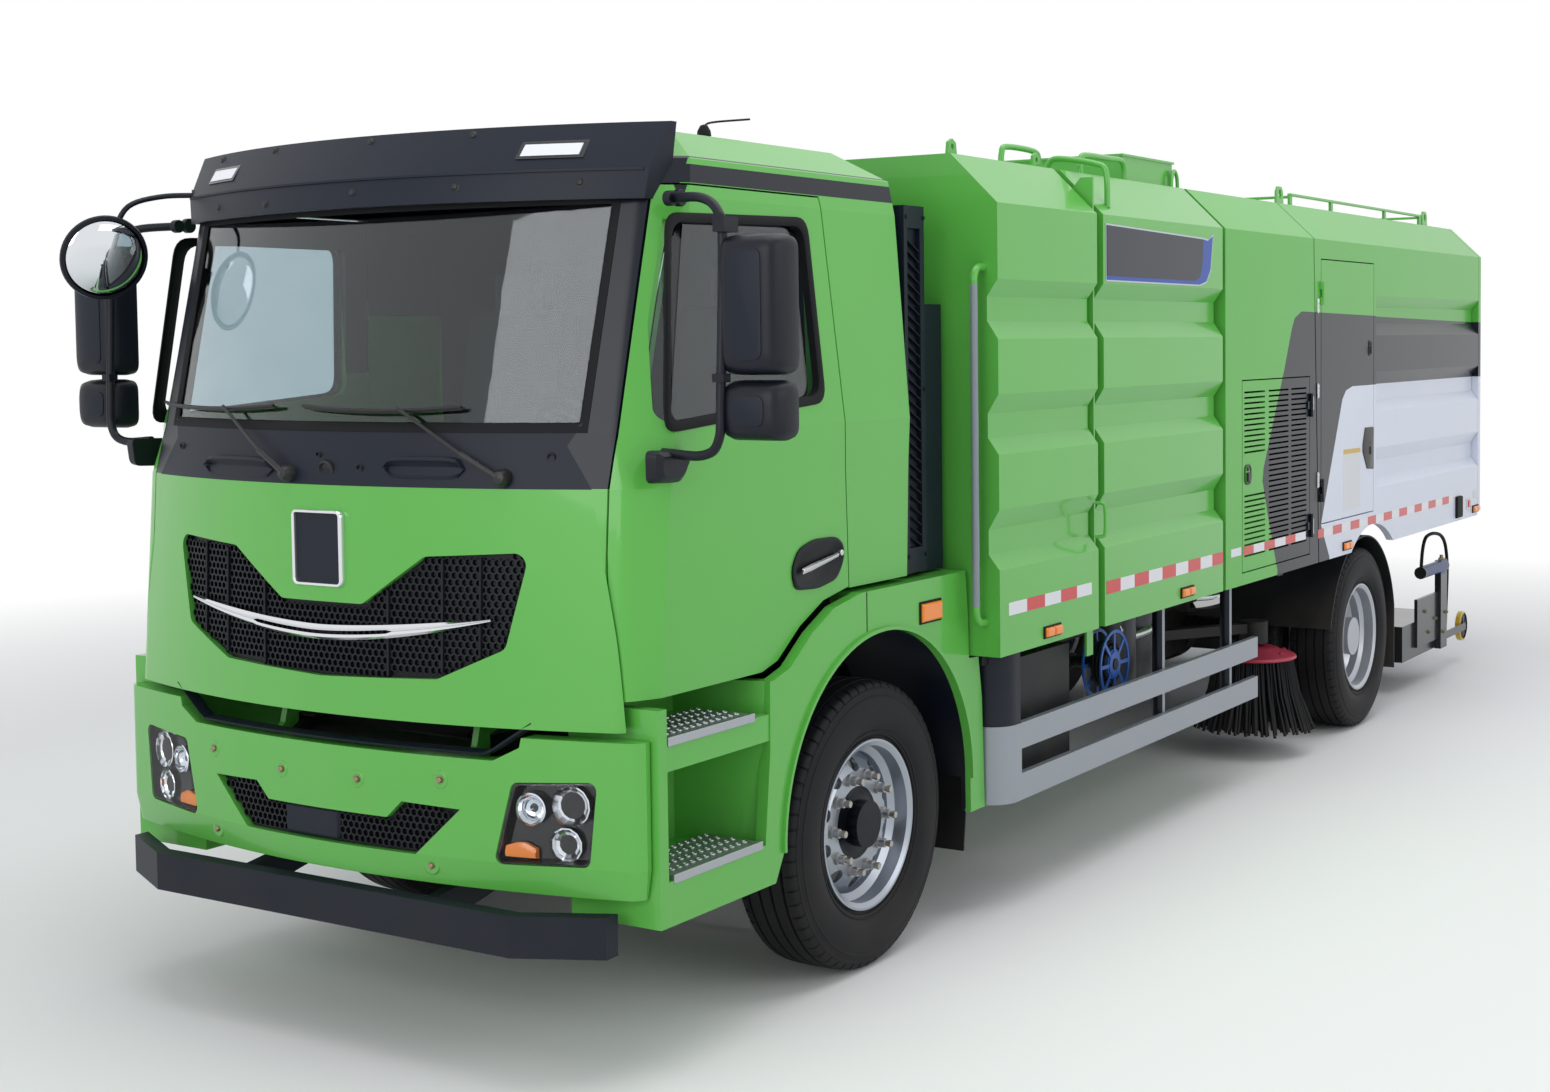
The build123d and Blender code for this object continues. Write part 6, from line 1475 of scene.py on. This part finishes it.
# Studio: a pale floor, a white surround and soft lamps, and the camera at the photograph's place.
# The floor keeps the truck's shadow, and the surround is seen by camera, glossy and transmission rays.
bpy.ops.mesh.primitive_plane_add(size=120, location=(0, 0, -0.001))
floor = bpy.context.object
floor.name = "studio floor"
floor_paint = bpy.data.materials.new("studio floor")
floor_paint.use_nodes = True
tree = floor_paint.node_tree
floor_shader = tree.nodes["Principled BSDF"]
floor_shader.inputs["Roughness"].default_value = 0.9
floor_ramp = shader_node(tree, "ValToRGB", {"Fac": shader_node(tree, "TexNoise", {"Scale": 0.4}).outputs["Fac"]})
floor_ramp.color_ramp.elements[0].color = (0.88, 0.88, 0.88, 1)
floor_ramp.color_ramp.elements[1].color = (0.92, 0.92, 0.92, 1)
tree.links.new(floor_ramp.outputs["Color"], floor_shader.inputs["Base Color"])
# Far from the truck the floor runs out into the white surround
FADE_START, FADE_END = 5.5, 11.0
floor_far = shader_node(tree, "VectorMath", {0: shader_node(tree, "TexCoord").outputs["Object"]}, operation="LENGTH")
floor_fade = shader_node(tree, "MapRange", {"Value": floor_far.outputs["Value"], "From Min": FADE_START,
                                            "From Max": FADE_END})
floor_glow = shader_node(tree, "Emission", {"Color": (1, 1, 1, 1)})
floor_blend = shader_node(tree, "MixShader", {"Fac": floor_fade.outputs["Result"], 1: floor_shader.outputs[0],
                                              2: floor_glow.outputs[0]})
tree.links.new(floor_blend.outputs[0], tree.nodes["Material Output"].inputs["Surface"])
floor.data.materials.append(floor_paint)
floor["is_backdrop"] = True

world = bpy.data.worlds.new("studio")
bpy.context.scene.world = world
world.use_nodes = True
tree = world.node_tree
sky = tree.nodes["Background"]
sky.inputs["Color"].default_value = (0.93, 0.96, 1.0, 1)
sky.inputs["Strength"].default_value = 0.48
clear_sky = shader_node(tree, "Background", {"Color": (1, 1, 1, 1), "Strength": 1.0})
seen = shader_node(tree, "LightPath")
direct = seen.outputs["Is Camera Ray"]
for ray in ("Is Glossy Ray", "Is Transmission Ray"):
    direct = work(tree, "MAXIMUM", direct, seen.outputs[ray])
pick = shader_node(tree, "MixShader", {"Fac": direct, 1: sky.outputs[0], 2: clear_sky.outputs[0]})
tree.links.new(pick.outputs[0], tree.nodes["World Output"].inputs["Surface"])


def soft_lamp(name, place, aim, size, power):
    lamp = bpy.data.lights.new(name, "AREA")
    lamp.shape = "RECTANGLE"
    lamp.size, lamp.size_y = size
    lamp.energy = power
    holder = bpy.data.objects.new(name, lamp)
    bpy.context.scene.collection.objects.link(holder)
    holder.location = place
    holder.rotation_euler = (Vector(aim) - Vector(place)).to_track_quat("-Z", "Y").to_euler()
    return holder


soft_lamp("overhead lamp", (1.5, 2.0, 11.0), (0.5, 0, 1.0), (12, 8), 640)
soft_lamp("side lamp", (2.0, 13.0, 6.0), (0, 0, 1.4), (12, 6), 300)
soft_lamp("front lamp", (15.0, 1.0, 5.0), (2, 0, 1.4), (8, 6), 430)

CAMERA_PLACE = at(5.94864, 4.733, 2.19632)
CAMERA_YAW = 3.6876842263458043
CAMERA_PITCH = -0.051989633611829414
CAMERA_ROLL = -0.010597394186206073
look = Vector((math.cos(CAMERA_YAW) * math.cos(CAMERA_PITCH), math.sin(CAMERA_YAW) * math.cos(CAMERA_PITCH),
               math.sin(CAMERA_PITCH)))
level_right = look.cross(Vector((0, 0, 1))).normalized()
level_up = level_right.cross(look)
right = math.cos(CAMERA_ROLL) * level_right + math.sin(CAMERA_ROLL) * level_up
up = math.cos(CAMERA_ROLL) * level_up - math.sin(CAMERA_ROLL) * level_right
camera_data = bpy.data.cameras.new("camera")
camera_data.sensor_width = 36
camera_data.lens = 46.78
camera_data.shift_x = -0.0645
camera_data.shift_y = -0.0645
camera_data.clip_end = 200
camera = bpy.data.objects.new("camera", camera_data)
bpy.context.scene.collection.objects.link(camera)
camera.matrix_world = Matrix.Translation(CAMERA_PLACE) @ Matrix((right, up, -look)).transposed().to_4x4()
bpy.context.scene.camera = camera
bpy.context.scene.view_settings.view_transform = "Standard"

low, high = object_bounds()
